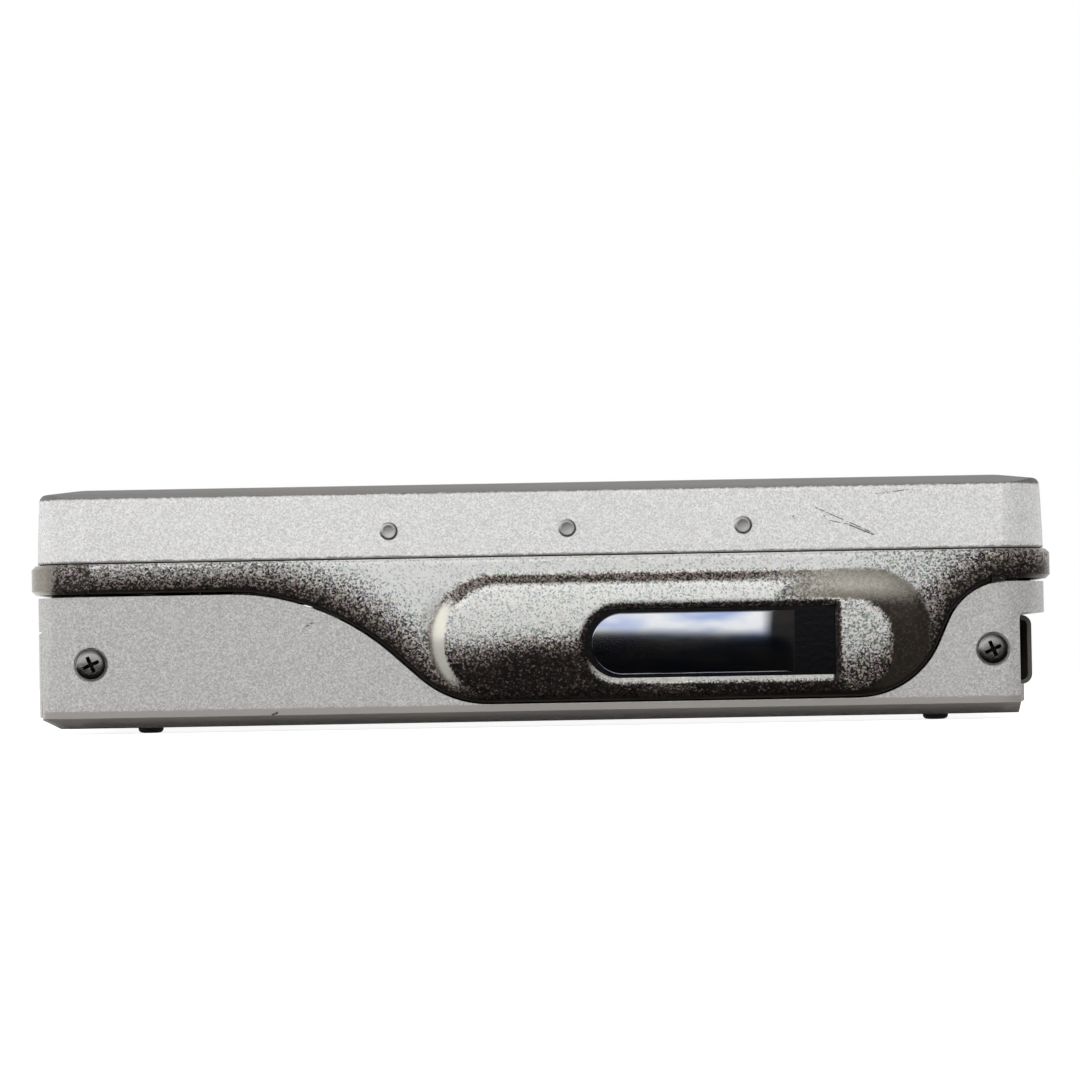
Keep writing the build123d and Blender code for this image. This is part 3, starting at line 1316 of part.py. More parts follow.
# ================================================================ SPINDLE
platter_bottom = deck_top + 0.3
platter_step = 0.8
hub_radius = 5.2
hub_top = turntable_top - 1.0
magnet_inner = 2.4
magnet_outer = 4.8
magnet_height = 0.5
centring_radius = 1.9
with BuildPart() as spindle_motor:
    with BuildSketch(Plane.XY.offset(deck_bottom)):
        with Locations((0, disc_y)):
            Circle(motor_radius)
    extrude(amount=-motor_height)
    with BuildSketch(Plane.XY.offset(deck_bottom)):
        with Locations((0, disc_y)):
            Circle(spindle_radius + running_fit)
    extrude(amount=-(motor_height - 0.5), mode=Mode.SUBTRACT)
spindle_motor.part.label = "spindle_motor"
export_step(spindle_motor.part, "parts/spindle_motor.step")

with BuildPart() as turntable:
    with BuildSketch(Plane.XZ.offset(-disc_y)):
        with BuildLine():
            Polyline(
                (0, deck_bottom - motor_height + 0.7),
                (spindle_radius, deck_bottom - motor_height + 0.7),
                (spindle_radius, platter_bottom),
                (turntable_radius, platter_bottom),
                (turntable_radius, platter_bottom + platter_step),
                (hub_radius, platter_bottom + platter_step),
                (hub_radius, hub_top),
                (centring_radius, hub_top),
                (centring_radius, turntable_top),
                (0, turntable_top),
                close=True,
            )
        make_face()
    revolve(axis=Axis((0, disc_y, 0), (0, 0, 1)))
turntable.part.label = "turntable"
export_step(turntable.part, "parts/turntable.step")

with BuildPart() as hub_magnet:
    with BuildSketch(Plane.XY.offset(hub_top)):
        with Locations((0, disc_y)):
            Circle(magnet_outer)
            Circle(magnet_inner, mode=Mode.SUBTRACT)
    extrude(amount=magnet_height)
hub_magnet.part.label = "hub_magnet"
export_step(hub_magnet.part, "parts/hub_magnet.step")

# ================================================================ PICKUP SLED
sled_left = 6.0            # sled body either side of the lens
sled_right = 4.8
sled_bottom = rod_z - 2.2
sled_shoulder = deck_bottom - 0.5
sled_top = deck_top + 0.8
sled_neck = 8.4
neck_front = 6.7
neck_back = 7.0
bearing_wall = 1.5
actuator_pocket = 1.8
with BuildPart() as pickup_sled:
    sled_front = rod_y[0] - bearing_wall
    sled_back = rod_y[1] + bearing_wall
    with BuildSketch(Plane.XY.offset(sled_bottom)):
        with Locations((lens_x + (sled_right - sled_left) / 2, (sled_front + sled_back) / 2)):
            Rectangle(sled_left + sled_right, sled_back - sled_front)
    extrude(amount=sled_shoulder - sled_bottom)
    with BuildSketch(Plane.XY.offset(sled_shoulder)):
        with Locations((lens_x, disc_y + (neck_back - neck_front) / 2)):
            Rectangle(sled_neck, neck_front + neck_back)
    extrude(amount=sled_top - sled_shoulder)
    with BuildSketch(Plane.XY.offset(sled_top)):
        with Locations((lens_x, disc_y)):
            Rectangle(6.4, 10.4)
    extrude(amount=-actuator_pocket, mode=Mode.SUBTRACT)
    # Bore on the main rod, open fork on the other
    with BuildSketch(side_plane(lens_x)):
        with Locations((rod_y[1], rod_z)):
            Circle(rod_radius + running_fit)
        with Locations((rod_y[0] - bearing_wall / 2, rod_z)):
            Rectangle(bearing_wall + 2 * rod_radius + 0.6, 2 * (rod_radius + running_fit))
    extrude(amount=sled_left + 1.0, both=True, mode=Mode.SUBTRACT)
    # Waist cut under the block, where the light path's cover sits
    with BuildSketch(Plane.XY.offset(sled_bottom)):
        with Locations((lens_x + sled_right, disc_y)):
            Rectangle(2.4, 9.0)
    extrude(amount=2.0, mode=Mode.SUBTRACT)
pickup_sled.part.label = "pickup_sled"
export_step(pickup_sled.part, "parts/pickup_sled.step")

lens_holder_size = 5.4
lens_radius = 1.9
holder_low = sled_top - actuator_pocket + 0.4
lens_base = sled_top + 0.2
lens_height = 0.6
with BuildPart() as lens_holder:
    with BuildSketch(Plane.XY.offset(holder_low)):
        with Locations((lens_x, disc_y)):
            Rectangle(lens_holder_size, lens_holder_size)
    extrude(amount=lens_base - holder_low)
    chamfer(lens_holder.faces().sort_by(Axis.Z)[-1].edges(), 0.3)
lens_holder.part.label = "lens_holder"
export_step(lens_holder.part, "parts/lens_holder.step")

with BuildPart() as objective_lens:
    with BuildSketch(Plane.XY.offset(lens_base)):
        with Locations((lens_x, disc_y)):
            Circle(lens_radius)
    extrude(amount=lens_height)
objective_lens.part.label = "objective_lens"
export_step(objective_lens.part, "parts/objective_lens.step")

with BuildPart() as actuator_magnets:
    with BuildSketch(Plane.XY.offset(sled_top - actuator_pocket)):
        with Locations((lens_x, disc_y - 4.4), (lens_x, disc_y + 4.4)):
            Rectangle(5.0, 1.2)
    extrude(amount=actuator_pocket - 0.2)
actuator_magnets.part.label = "actuator_magnets"
export_step(actuator_magnets.part, "parts/actuator_magnets.step")

# ================================================================ SLED DRIVE
screw_y = rod_y[1] + screw_offset
gear_distance = gear_module * (gear_teeth + pinion_teeth) / 2
pinion_y = screw_y + gear_distance
shaft_radius = 0.4
shaft_reach = 3.0          # pinion shaft inside the motor
ear_thickness = 1.0
left_ear_x = 3.2
right_ear_x = deck_x - ear_thickness - 0.25
motor_ear_x = 0.45
motor_ear = 0.6
gear_x = 1.6
sled_motor_radius = 2.45
sled_motor_length = 10.0
with BuildPart() as screw_bracket:
    strap = 0.4
    with BuildSketch(Plane.XY.offset(deck_bottom - strap)):
        with Locations(((motor_ear_x + right_ear_x + ear_thickness) / 2, screw_y + 0.1)):
            Rectangle(right_ear_x + ear_thickness - motor_ear_x, 2.6)
        with Locations((gear_x + gear_width / 2, screw_y)):
            Rectangle(gear_width + 0.6, 2.0, mode=Mode.SUBTRACT)
    extrude(amount=strap)
    # Ears with slots that the screw turns in
    slot_bottom = screw_z - screw_radius - running_fit
    for x, thickness in ((motor_ear_x, motor_ear), (left_ear_x, ear_thickness), (right_ear_x, ear_thickness)):
        with BuildSketch(side_plane(x)):
            with Locations((screw_y + 0.1, (slot_bottom - 0.5 + deck_bottom) / 2)):
                Rectangle(2.6, deck_bottom - slot_bottom + 0.5)
            with Locations((screw_y, screw_z)):
                Rectangle(
                    2 * (screw_radius + running_fit), 2 * (screw_radius + running_fit), mode=Mode.SUBTRACT
                )
        extrude(amount=thickness)
    # Plate that the motor's face is fixed to
    with BuildSketch(side_plane(motor_ear_x)):
        with Locations(((screw_y + 1.4 + pinion_y + sled_motor_radius) / 2, (slot_bottom - 0.5 + deck_bottom) / 2)):
            Rectangle(pinion_y + sled_motor_radius - screw_y - 1.4, deck_bottom - slot_bottom + 0.5)
        with Locations((pinion_y, screw_z)):
            Rectangle(4 * shaft_radius, 4 * shaft_radius, mode=Mode.SUBTRACT)
    extrude(amount=motor_ear)
screw_bracket.part.label = "screw_bracket"
export_step(screw_bracket.part, "parts/screw_bracket.step")

with BuildPart() as lead_screw:
    with BuildSketch(side_plane(motor_ear_x + 0.05)):
        with Locations((screw_y, screw_z)):
            Circle(screw_radius)
    extrude(amount=right_ear_x + ear_thickness - motor_ear_x - 0.1)
lead_screw.part.label = "lead_screw"
export_step(lead_screw.part, "parts/lead_screw.step")

with BuildPart() as screw_gear:
    with BuildSketch(side_plane(gear_x)):
        with Locations((screw_y, screw_z)):
            Polygon(*gear_outline(gear_teeth), align=None)
            RegularPolygon(screw_radius + seat_fit, 8, major_radius=False, mode=Mode.SUBTRACT)
    extrude(amount=gear_width)
screw_gear.part.label = "screw_gear"
export_step(screw_gear.part, "parts/screw_gear.step")

with BuildPart() as motor_pinion:
    with BuildSketch(side_plane(gear_x)):
        with Locations((pinion_y, screw_z)):
            Polygon(*gear_outline(pinion_teeth), rotation=180.0 / pinion_teeth, align=None)
    extrude(amount=gear_width)
    with BuildSketch(side_plane(gear_x)):
        with Locations((pinion_y, screw_z)):
            Circle(shaft_radius)
    extrude(amount=-(gear_x + shaft_reach))
motor_pinion.part.label = "motor_pinion"
export_step(motor_pinion.part, "parts/motor_pinion.step")

with BuildPart() as sled_motor:
    with BuildSketch(side_plane(motor_ear_x)):
        with Locations((pinion_y, screw_z)):
            Circle(sled_motor_radius)
    extrude(amount=-sled_motor_length)
    with BuildSketch(side_plane(motor_ear_x)):
        with Locations((pinion_y, screw_z)):
            RegularPolygon(shaft_radius + running_fit, 8, major_radius=False)
    extrude(amount=-(motor_ear_x + shaft_reach + 0.3), mode=Mode.SUBTRACT)
sled_motor.part.label = "sled_motor"
export_step(sled_motor.part, "parts/sled_motor.step")

with BuildPart() as sled_nut:
    with BuildSketch(side_plane(lens_x - 2.0)):
        with Locations(((sled_back + screw_y + 1.3) / 2, (screw_z + rod_z + 1.0) / 2)):
            Rectangle(screw_y + 1.3 - sled_back, rod_z + 1.0 - screw_z)
        with Locations((screw_y, screw_z)):
            Circle(screw_radius + 0.1, mode=Mode.SUBTRACT)
    extrude(amount=4.0)
sled_nut.part.label = "sled_nut"
export_step(sled_nut.part, "parts/sled_nut.step")
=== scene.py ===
import bpy
import bmesh
import json
import math
import numpy as np
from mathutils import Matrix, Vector


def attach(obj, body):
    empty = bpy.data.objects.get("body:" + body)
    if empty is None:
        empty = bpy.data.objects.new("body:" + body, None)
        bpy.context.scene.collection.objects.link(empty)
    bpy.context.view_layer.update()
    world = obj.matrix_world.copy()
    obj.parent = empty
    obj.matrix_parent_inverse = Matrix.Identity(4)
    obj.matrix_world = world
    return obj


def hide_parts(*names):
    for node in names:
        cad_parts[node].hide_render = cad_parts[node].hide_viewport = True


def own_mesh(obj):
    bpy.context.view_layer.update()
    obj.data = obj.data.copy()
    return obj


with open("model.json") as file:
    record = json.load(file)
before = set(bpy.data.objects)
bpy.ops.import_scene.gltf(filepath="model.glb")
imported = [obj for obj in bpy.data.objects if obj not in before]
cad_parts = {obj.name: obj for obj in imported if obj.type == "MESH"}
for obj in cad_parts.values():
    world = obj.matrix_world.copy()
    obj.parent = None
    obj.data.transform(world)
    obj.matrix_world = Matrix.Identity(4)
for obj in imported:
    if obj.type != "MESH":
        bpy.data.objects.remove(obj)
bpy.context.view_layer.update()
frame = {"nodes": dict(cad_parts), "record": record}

MM = 0.001
scene = bpy.context.scene
scene.view_settings.view_transform = "Standard"

# ---------------------------------------------------------------- camera, in metres
FRONT_Y = -0.037
DISTANCE = 0.36
CAMERA_Z = 0.004
AIM_Z = 0.0143          # the height at the object's front that the photograph's middle shows
VIEW_WIDTH = 0.0826     # what the picture's width takes in at the object's front
SENSOR = 36.0           # millimetres, as the lens is
ROLL = -1.02            # the photograph's turn, in degrees
camera_data = bpy.data.cameras.new("camera")
camera_data.sensor_width = SENSOR
camera_data.lens = SENSOR * DISTANCE / VIEW_WIDTH
camera_data.clip_start = 0.005
camera = bpy.data.objects.new("camera", camera_data)
scene.collection.objects.link(camera)
camera.location = (0.0, FRONT_Y - DISTANCE, CAMERA_Z)
camera.rotation_euler = (math.radians(90.0) + math.atan((AIM_Z - CAMERA_Z) / DISTANCE), 0.0, 0.0)
camera.rotation_euler.rotate_axis("Z", math.radians(ROLL))
scene.camera = camera


# ---------------------------------------------------------------- node helpers
class Tree:
    """Short-hand for building a material's or the world's nodes."""

    def __init__(self, owner):
        owner.use_nodes = True
        self.tree = owner.node_tree
        self.tree.nodes.clear()

    def add(self, kind, inputs=None, **settings):
        node = self.tree.nodes.new(kind)
        for key, value in settings.items():
            setattr(node, key, value)
        for key, value in (inputs or {}).items():
            if isinstance(value, bpy.types.NodeSocket):
                self.tree.links.new(value, node.inputs[key])
            else:
                node.inputs[key].default_value = value
        return node

    def math(self, operation, a, b=0.0, clamp=False):
        return self.add("ShaderNodeMath", {0: a, 1: b}, operation=operation, use_clamp=clamp).outputs[0]

    def remap(self, value, low=0.0, high=1.0, to_low=0.0, to_high=1.0):
        inputs = {0: value, 1: low, 2: high, 3: to_low, 4: to_high}
        return self.add("ShaderNodeMapRange", inputs).outputs[0]

    def split(self, vector):
        return self.add("ShaderNodeSeparateXYZ", {0: vector}).outputs

    def ramp(self, factor, stops):
        node = self.add("ShaderNodeValToRGB", {0: factor})
        while len(node.color_ramp.elements) < len(stops):
            node.color_ramp.elements.new(0.5)
        for element, (place, colour) in zip(node.color_ramp.elements, stops):
            element.position = place
            element.color = colour if len(colour) == 4 else (*colour, 1.0)
        return node.outputs[0]

    def mix(self, factor, a, b, blend="MIX"):
        node = self.add("ShaderNodeMix", data_type="RGBA", blend_type=blend)
        for index, value in ((0, factor), (6, a), (7, b)):
            if isinstance(value, bpy.types.NodeSocket):
                self.tree.links.new(value, node.inputs[index])
            elif index == 0:
                node.inputs[index].default_value = value
            else:
                node.inputs[index].default_value = (*value, 1.0)
        return node.outputs[2]

    def position(self):
        return self.add("ShaderNodeTexCoord").outputs["Object"]

    def noise(self, vector, scale, detail=2.0, roughness=0.5):
        return self.add(
            "ShaderNodeTexNoise",
            {"Vector": vector, "Scale": scale, "Detail": detail, "Roughness": roughness},
        ).outputs[0]

    def cells(self, vector, scale):
        return self.add("ShaderNodeTexVoronoi", {"Vector": vector, "Scale": scale}).outputs["Color"]

    def bump(self, height, distance, strength=1.0, normal=None):
        inputs = {"Height": height, "Distance": distance, "Strength": strength}
        if normal is not None:
            inputs["Normal"] = normal
        return self.add("ShaderNodeBump", inputs).outputs[0]


def grey(level, warmth=0.0):
    return (level * (1 + warmth), level, level * (1 - warmth))


def finish_material(tree, **inputs):
    """Ends a material's tree with a principled shader; an underscore stands for a space in a name."""
    sockets = {key.replace("_", " "): value for key, value in inputs.items()}
    shader = tree.add("ShaderNodeBsdfPrincipled", sockets)
    tree.add("ShaderNodeOutputMaterial", {"Surface": shader.outputs[0]})


FLAKE = 0.00010         # metres across
PAINT_ROUGHNESS = 0.44
PAINT_METALLIC = 0.30
SPARKLE = 0.35
BAND_EDGE = 0.06        # half the soft edge of a strip of painted shade and wear, in millimetres
MARKS_BACK = -35.8      # scratches lie only on what stands further forward than this


def painted_shade_and_wear_bands(tree, colour, shade_and_wear_colour, parts, ragged, shade_and_wear_strips):
    """Darkens strips of the paint as painted shade, with worn ragged edges: (lowest z, highest z, furthest
    back y, share kept), in millimetres.
    """
    z = tree.math("ADD", parts[2], tree.math("MULTIPLY", tree.math("SUBTRACT", ragged, 0.5), 0.00035))
    for low, high, back, kept in shade_and_wear_strips:
        inside = tree.remap(z, (low - BAND_EDGE) * MM, (low + BAND_EDGE) * MM)
        under = tree.remap(z, (high + BAND_EDGE) * MM, (high - BAND_EDGE) * MM)
        front = tree.math("LESS_THAN", parts[1], back * MM)
        share = tree.math("MULTIPLY", tree.math("MULTIPLY", inside, under), front)
        colour = tree.mix(share, colour, tuple(kept * c for c in shade_and_wear_colour))
    return colour


def scratched(tree, colour, parts, ragged, chips, marks):
    """Draws scratches on the front: (x, z, x, z, half width, tone), in millimetres."""
    front = tree.math("LESS_THAN", parts[1], MARKS_BACK * MM)
    broken = tree.remap(chips, 0.42, 0.52)
    for ax, az, bx, bz, half, tone in marks:
        length = math.hypot(bx - ax, bz - az)
        dx, dz = (bx - ax) / length, (bz - az) / length
        x = tree.math("SUBTRACT", parts[0], ax * MM)
        z = tree.math("SUBTRACT", parts[2], az * MM)
        along = tree.math("ADD", tree.math("MULTIPLY", x, dx), tree.math("MULTIPLY", z, dz))
        across = tree.math("SUBTRACT", tree.math("MULTIPLY", x, dz), tree.math("MULTIPLY", z, dx))
        waver = tree.math("MULTIPLY", tree.math("SUBTRACT", ragged, 0.5), half * 2.5 * MM)
        across = tree.math("ADD", across, waver)
        before = tree.math("SUBTRACT", 0.0, along)
        after = tree.math("SUBTRACT", along, length * MM)
        over = tree.math("MAXIMUM", before, after)
        off = tree.math("MAXIMUM", tree.math("ABSOLUTE", across), over)
        hit = tree.remap(off, half * 1.2 * MM, half * 0.5 * MM)
        share = tree.math("MULTIPLY", tree.math("MULTIPLY", hit, broken), front)
        colour = tree.mix(share, colour, grey(tone, 0.04))
    return colour


def flake_paint(name, light, dark, warmth, shade_and_wear_strips, marks):
    """Metallic paint: tiny flakes of differing brightness, each tipped a little differently."""
    material = bpy.data.materials.new(name)
    tree = Tree(material)
    place = tree.position()
    flakes = tree.cells(place, 1.0 / FLAKE)
    level = tree.add("ShaderNodeSeparateColor", {0: flakes}).outputs[0]
    soft = tree.noise(place, 1.0 / (FLAKE * 1.3), 1.0, 0.5)
    mixed = tree.math("ADD", tree.math("MULTIPLY", level, 0.65), tree.math("MULTIPLY", soft, 0.35))
    middle = (light + dark) / 2
    colour = tree.ramp(
        mixed, [(0.12, grey(dark, warmth)), (0.50, grey(middle, warmth)), (0.85, grey(light, warmth))]
    )
    wear = tree.noise(place, 90.0, 4.0, 0.6)
    colour = tree.mix(tree.math("MULTIPLY", wear, 0.10), colour, grey(dark * 0.8, warmth * 2))
    ragged = tree.noise(place, 2600.0, 3.0, 0.7)
    chips = tree.noise(place, 1900.0, 2.0, 0.6)
    parts = tree.split(place)
    # painted shade in strips, with ragged worn edges
    colour = painted_shade_and_wear_bands(tree, colour, grey(middle, warmth + 0.04), parts, ragged, shade_and_wear_strips)
    colour = scratched(tree, colour, parts, ragged, chips, marks)
    tilt = tree.bump(level, 0.00002, SPARKLE)
    tilt = tree.bump(soft, 0.00003, SPARKLE, tilt)
    gloss = tree.remap(wear, to_low=PAINT_ROUGHNESS - 0.05, to_high=PAINT_ROUGHNESS + 0.07)
    finish_material(tree, Base_Color=colour, Metallic=PAINT_METALLIC, Roughness=gloss, Normal=tilt)
    return material


def bright_metal(name, colour, roughness, grain_size, grain, drawn=False, recess_shade=(), metallic=1.0, tint=None):
    """Plated or stamped metal with a fine grain, in lines where it is drawn, and clouds of a tint, which on
    the knob are a painted bluish reflection.

    recess_shade darkens what lies deeper than y inside a radius round (x, z), on both sides, in millimetres,
    as painted shade."""
    material = bpy.data.materials.new(name)
    tree = Tree(material)
    place = tree.position()
    lines = tree.add("ShaderNodeMapping", {0: place, 3: (1.0, 12.0, 12.0)}).outputs[0] if drawn else place
    fine = tree.noise(lines, 1.0 / grain_size, 3.0, 0.65)
    smudge = tree.noise(place, 160.0, 3.0, 0.6)
    tone = tree.mix(tree.math("MULTIPLY", smudge, 0.25), colour, tuple(c * 0.72 for c in colour))
    if tint:
        flat = tree.add("ShaderNodeMapping", {0: place, 3: (1.0, 1.0, 3.0)}).outputs[0]
        painted_reflection_cloud = tree.noise(flat, 190.0, 2.0, 0.5)
        tone = tree.mix(tree.remap(painted_reflection_cloud, 0.42, 0.68), tone, tint)
    # painted shade in recesses
    for x, z, radius, depth in recess_shade:
        parts = tree.split(place)
        dx = tree.math("SUBTRACT", tree.math("ABSOLUTE", parts[0]), x * MM)
        dz = tree.math("SUBTRACT", parts[2], z * MM)
        squares = tree.math("ADD", tree.math("MULTIPLY", dx, dx), tree.math("MULTIPLY", dz, dz))
        inside = tree.math("LESS_THAN", tree.math("POWER", squares, 0.5), radius * MM)
        deep = tree.remap(parts[1], depth * MM, (depth + 0.10) * MM)
        tone = tree.mix(tree.math("MULTIPLY", inside, deep), tone, (0.02, 0.017, 0.015))
    tilt = tree.bump(fine, grain_size * 0.3, grain)
    gloss = tree.remap(smudge, to_low=roughness * 0.8, to_high=roughness * 1.3)
    finish_material(tree, Base_Color=tone, Metallic=metallic, Roughness=gloss, Normal=tilt)
    return material


CHROME_GRAIN = 0.00012  # metres across


def satin_chrome(name):
    """Blasted chrome: coarse bright grains, each tipped and tinted a little, fading to polished slopes; its
    brightness is painted light and shade from the vertex tone, and the polished parts get a painted olive
    reflection.
    """
    material = bpy.data.materials.new(name)
    tree = Tree(material)
    place = tree.position()
    # tone is painted light and shade: painted reflections, highlights and darkening
    tone = tree.add("ShaderNodeAttribute", attribute_name="tone").outputs["Fac"]
    grain = tree.add("ShaderNodeAttribute", attribute_name="grain").outputs["Fac"]
    cell = tree.cells(place, 1.0 / CHROME_GRAIN)
    cell_parts = tree.add("ShaderNodeSeparateColor", {0: cell}).outputs
    small = tree.noise(place, 1.0 / 0.00025, 1.0, 0.5)
    chance = tree.math("ADD", tree.math("MULTIPLY", cell_parts[0], 0.8), tree.math("MULTIPLY", small, 0.2))
    swing = tree.math("MULTIPLY", tree.math("SUBTRACT", chance, 0.5), tree.math("MULTIPLY", grain, 0.90))
    level = tree.math("ADD", tone, swing, clamp=True)
    colour = tree.ramp(
        level,
        [
            (0.0, (0.012, 0.010, 0.009)),
            (0.24, (0.050, 0.041, 0.037)),
            (0.50, (0.36, 0.34, 0.325)),
            (0.75, (0.80, 0.79, 0.775)),
            (1.0, (1.0, 0.995, 0.98)),
        ],
    )
    tint = tree.math("MULTIPLY", grain, 0.22)
    colour = tree.mix(tint, colour, cell, "OVERLAY")
    # painted olive reflection on the polished slopes
    smooth = tree.math("MULTIPLY", tree.math("SUBTRACT", 1.0, grain), 0.8)
    colour = tree.mix(smooth, colour, (0.98, 0.97, 0.84), "MULTIPLY")
    tilt = tree.bump(chance, 0.00004, tree.math("MULTIPLY", grain, 0.8))
    gloss = tree.remap(grain, to_low=0.20, to_high=0.34)
    finish_material(tree, Base_Color=colour, Metallic=0.55, Roughness=gloss, Normal=tilt)
    return material


def moulded(name, colour, roughness, grain_size=0.0002, grain=0.25, **extra):
    """Moulded plastic or rubber with a fine texture and slight unevenness."""
    material = bpy.data.materials.new(name)
    tree = Tree(material)
    place = tree.position()
    fine = tree.noise(place, 1.0 / grain_size, 2.0, 0.6)
    broad = tree.noise(place, 200.0, 3.0, 0.6)
    tone = tree.mix(tree.math("MULTIPLY", broad, 0.5), colour, tuple(c * 0.7 for c in colour))
    tilt = tree.bump(fine, grain_size * 0.25, grain)
    gloss = tree.remap(broad, to_low=roughness - 0.06, to_high=roughness + 0.08)
    finish_material(tree, Base_Color=tone, Roughness=gloss, Normal=tilt, **extra)
    return material


# ---------------------------------------------------------------- materials
LID_MARKS = (
    (19.5, 15.77, 19.75, 15.60, 0.10, 0.05),
    (21.2, 16.45, 25.5, 14.45, 0.045, 0.10),
    (22.2, 15.45, 23.8, 15.10, 0.04, 0.16),
    (23.8, 15.05, 25.6, 14.30, 0.06, 0.09),
    (21.8, 15.85, 22.3, 15.15, 0.04, 0.2),
    (25.2, 17.35, 28.6, 17.75, 0.05, 0.16),
    (37.1, 16.6, 37.35, 16.4, 0.08, 0.06),
    (36.6, 14.0, 36.9, 14.15, 0.06, 0.12),
)
CASE_MARKS = (
    (-18.3, 7.85, -17.6, 8.25, 0.09, 0.09),
    (-20.7, 1.30, -20.4, 1.42, 0.10, 0.03),
)
# The lid's strips are painted shade: on the top roll-off, with a worn ragged edge, and along the lower edge
# at the gap over the band
LID_PAINT = flake_paint(
    "lid_paint", 1.0, 0.60, 0.006,
    shade_and_wear_strips=((18.06, 19.5, -33.7, 0.24), (12.9, 13.30, -30.0, 0.30)), marks=LID_MARKS,
)
# A darker copy of the lid's silver paint, as painted shade on the lower case and battery door; its strip is
# painted shade on the bottom bevel
SHADED_CASE_PAINT = flake_paint(
    "shaded_case_paint", 0.70, 0.38, 0.018,
    shade_and_wear_strips=((0.0, 1.78, -34.0, 0.66),), marks=CASE_MARKS,
)
FASCIA = satin_chrome("fascia_plate")
# The knob's tint clouds are a painted bluish reflection in its mirror
KNOB = bright_metal("knob_mirror", (0.94, 0.96, 1.0), 0.11, 0.004, 0.0, tint=(0.42, 0.52, 0.80))
RIVET = bright_metal("rivet_metal", (0.90, 0.90, 0.88), 0.34, 0.00015, 0.15)
SLIDE = bright_metal("black_slide", (0.035, 0.036, 0.040), 0.12, 0.0004, 0.03)
SCREW_X, SCREW_Z = 34.6, 5.35       # the right case screw; the left one mirrors it
# The screws' cross recesses get painted shade
SCREW = bright_metal(
    "screw_metal", (0.50, 0.49, 0.48), 0.24, 0.0004, 0.10, recess_shade=((SCREW_X, SCREW_Z, 0.78, -36.06),)
)
SHELL = bright_metal("blackened_steel", (0.30, 0.29, 0.28), 0.34, 0.0002, 0.2)
STEEL = bright_metal("stamped_steel", (0.72, 0.72, 0.71), 0.34, 0.00015, 0.12, drawn=True, metallic=0.85)
BRIGHT = bright_metal("turned_steel", (0.62, 0.61, 0.59), 0.20, 0.0002, 0.10)
GOLD = bright_metal("gold_contact", (0.80, 0.56, 0.20), 0.22, 0.0002, 0.08)
KEY = moulded("key_plastic", (0.36, 0.36, 0.355), 0.42)
BLACK = moulded("black_plastic", (0.022, 0.022, 0.023), 0.45)
CREAM = moulded("cream_plastic", (0.62, 0.57, 0.44), 0.5)
RUBBER = moulded("black_rubber", (0.02, 0.02, 0.02), 0.75, 0.00012, 0.5)
FOOT = moulded("grey_rubber", (0.12, 0.12, 0.115), 0.6, 0.00012, 0.4)
BOARD = moulded("board_mask", (0.02, 0.14, 0.07), 0.4)
BATTERY = moulded("battery_wrap", (0.06, 0.07, 0.10), 0.35)
SMOKED = moulded("smoked_window", (0.012, 0.013, 0.015), 0.08, 0.002, 0.02)
DISPLAY = moulded("display_panel", (0.30, 0.33, 0.28), 0.25)
LENS = moulded("lens_glass", (0.10, 0.12, 0.25), 0.05, 0.002, 0.02)

MATERIAL_OF = {
    "lid_shell": LID_PAINT,
    "lower_case": SHADED_CASE_PAINT,
    "battery_door": SHADED_CASE_PAINT,
    "mid_frame": FASCIA,
    "slider_knob": SLIDE,
    "lcd_window": SMOKED,
    "terminal_shell": SHELL,
    "lcd_panel": DISPLAY,
    "terminal_contacts": GOLD,
    "terminal_tongue": CREAM,
    "battery_cell": BATTERY,
    "rubber_feet": RUBBER,
    "deck_dampers": RUBBER,
    "objective_lens": LENS,
    "case_screws": BRIGHT,
    "lid_rivets": BRIGHT,
    "hinge_pins": BRIGHT,
    "guide_rods": BRIGHT,
    "lead_screw": BRIGHT,
    "dc_pin": BRIGHT,
}
for node in (
    "back_key", "play_key", "forward_key", "stop_key", "volume_up_key", "volume_down_key", "hold_knob",
):
    MATERIAL_OF[node] = KEY
for node in ("main_board", "side_switch_board", "key_board"):
    MATERIAL_OF[node] = BOARD
for node in (
    "board_chips", "headphone_jack", "dc_jack", "turntable", "pickup_sled", "lens_holder", "screw_gear",
    "motor_pinion", "sled_nut",
):
    MATERIAL_OF[node] = BLACK

BODY_OF = {node: body for body, members in frame["record"]["behaviour"]["bodies"].items() for node in members}


def paint(piece, material):
    piece.data.materials.clear()
    piece.data.materials.append(material)


def new_piece(name, mesh, material, body):
    piece = bpy.data.objects.new(name, mesh)
    scene.collection.objects.link(piece)
    paint(piece, material)
    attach(piece, body)
    return piece


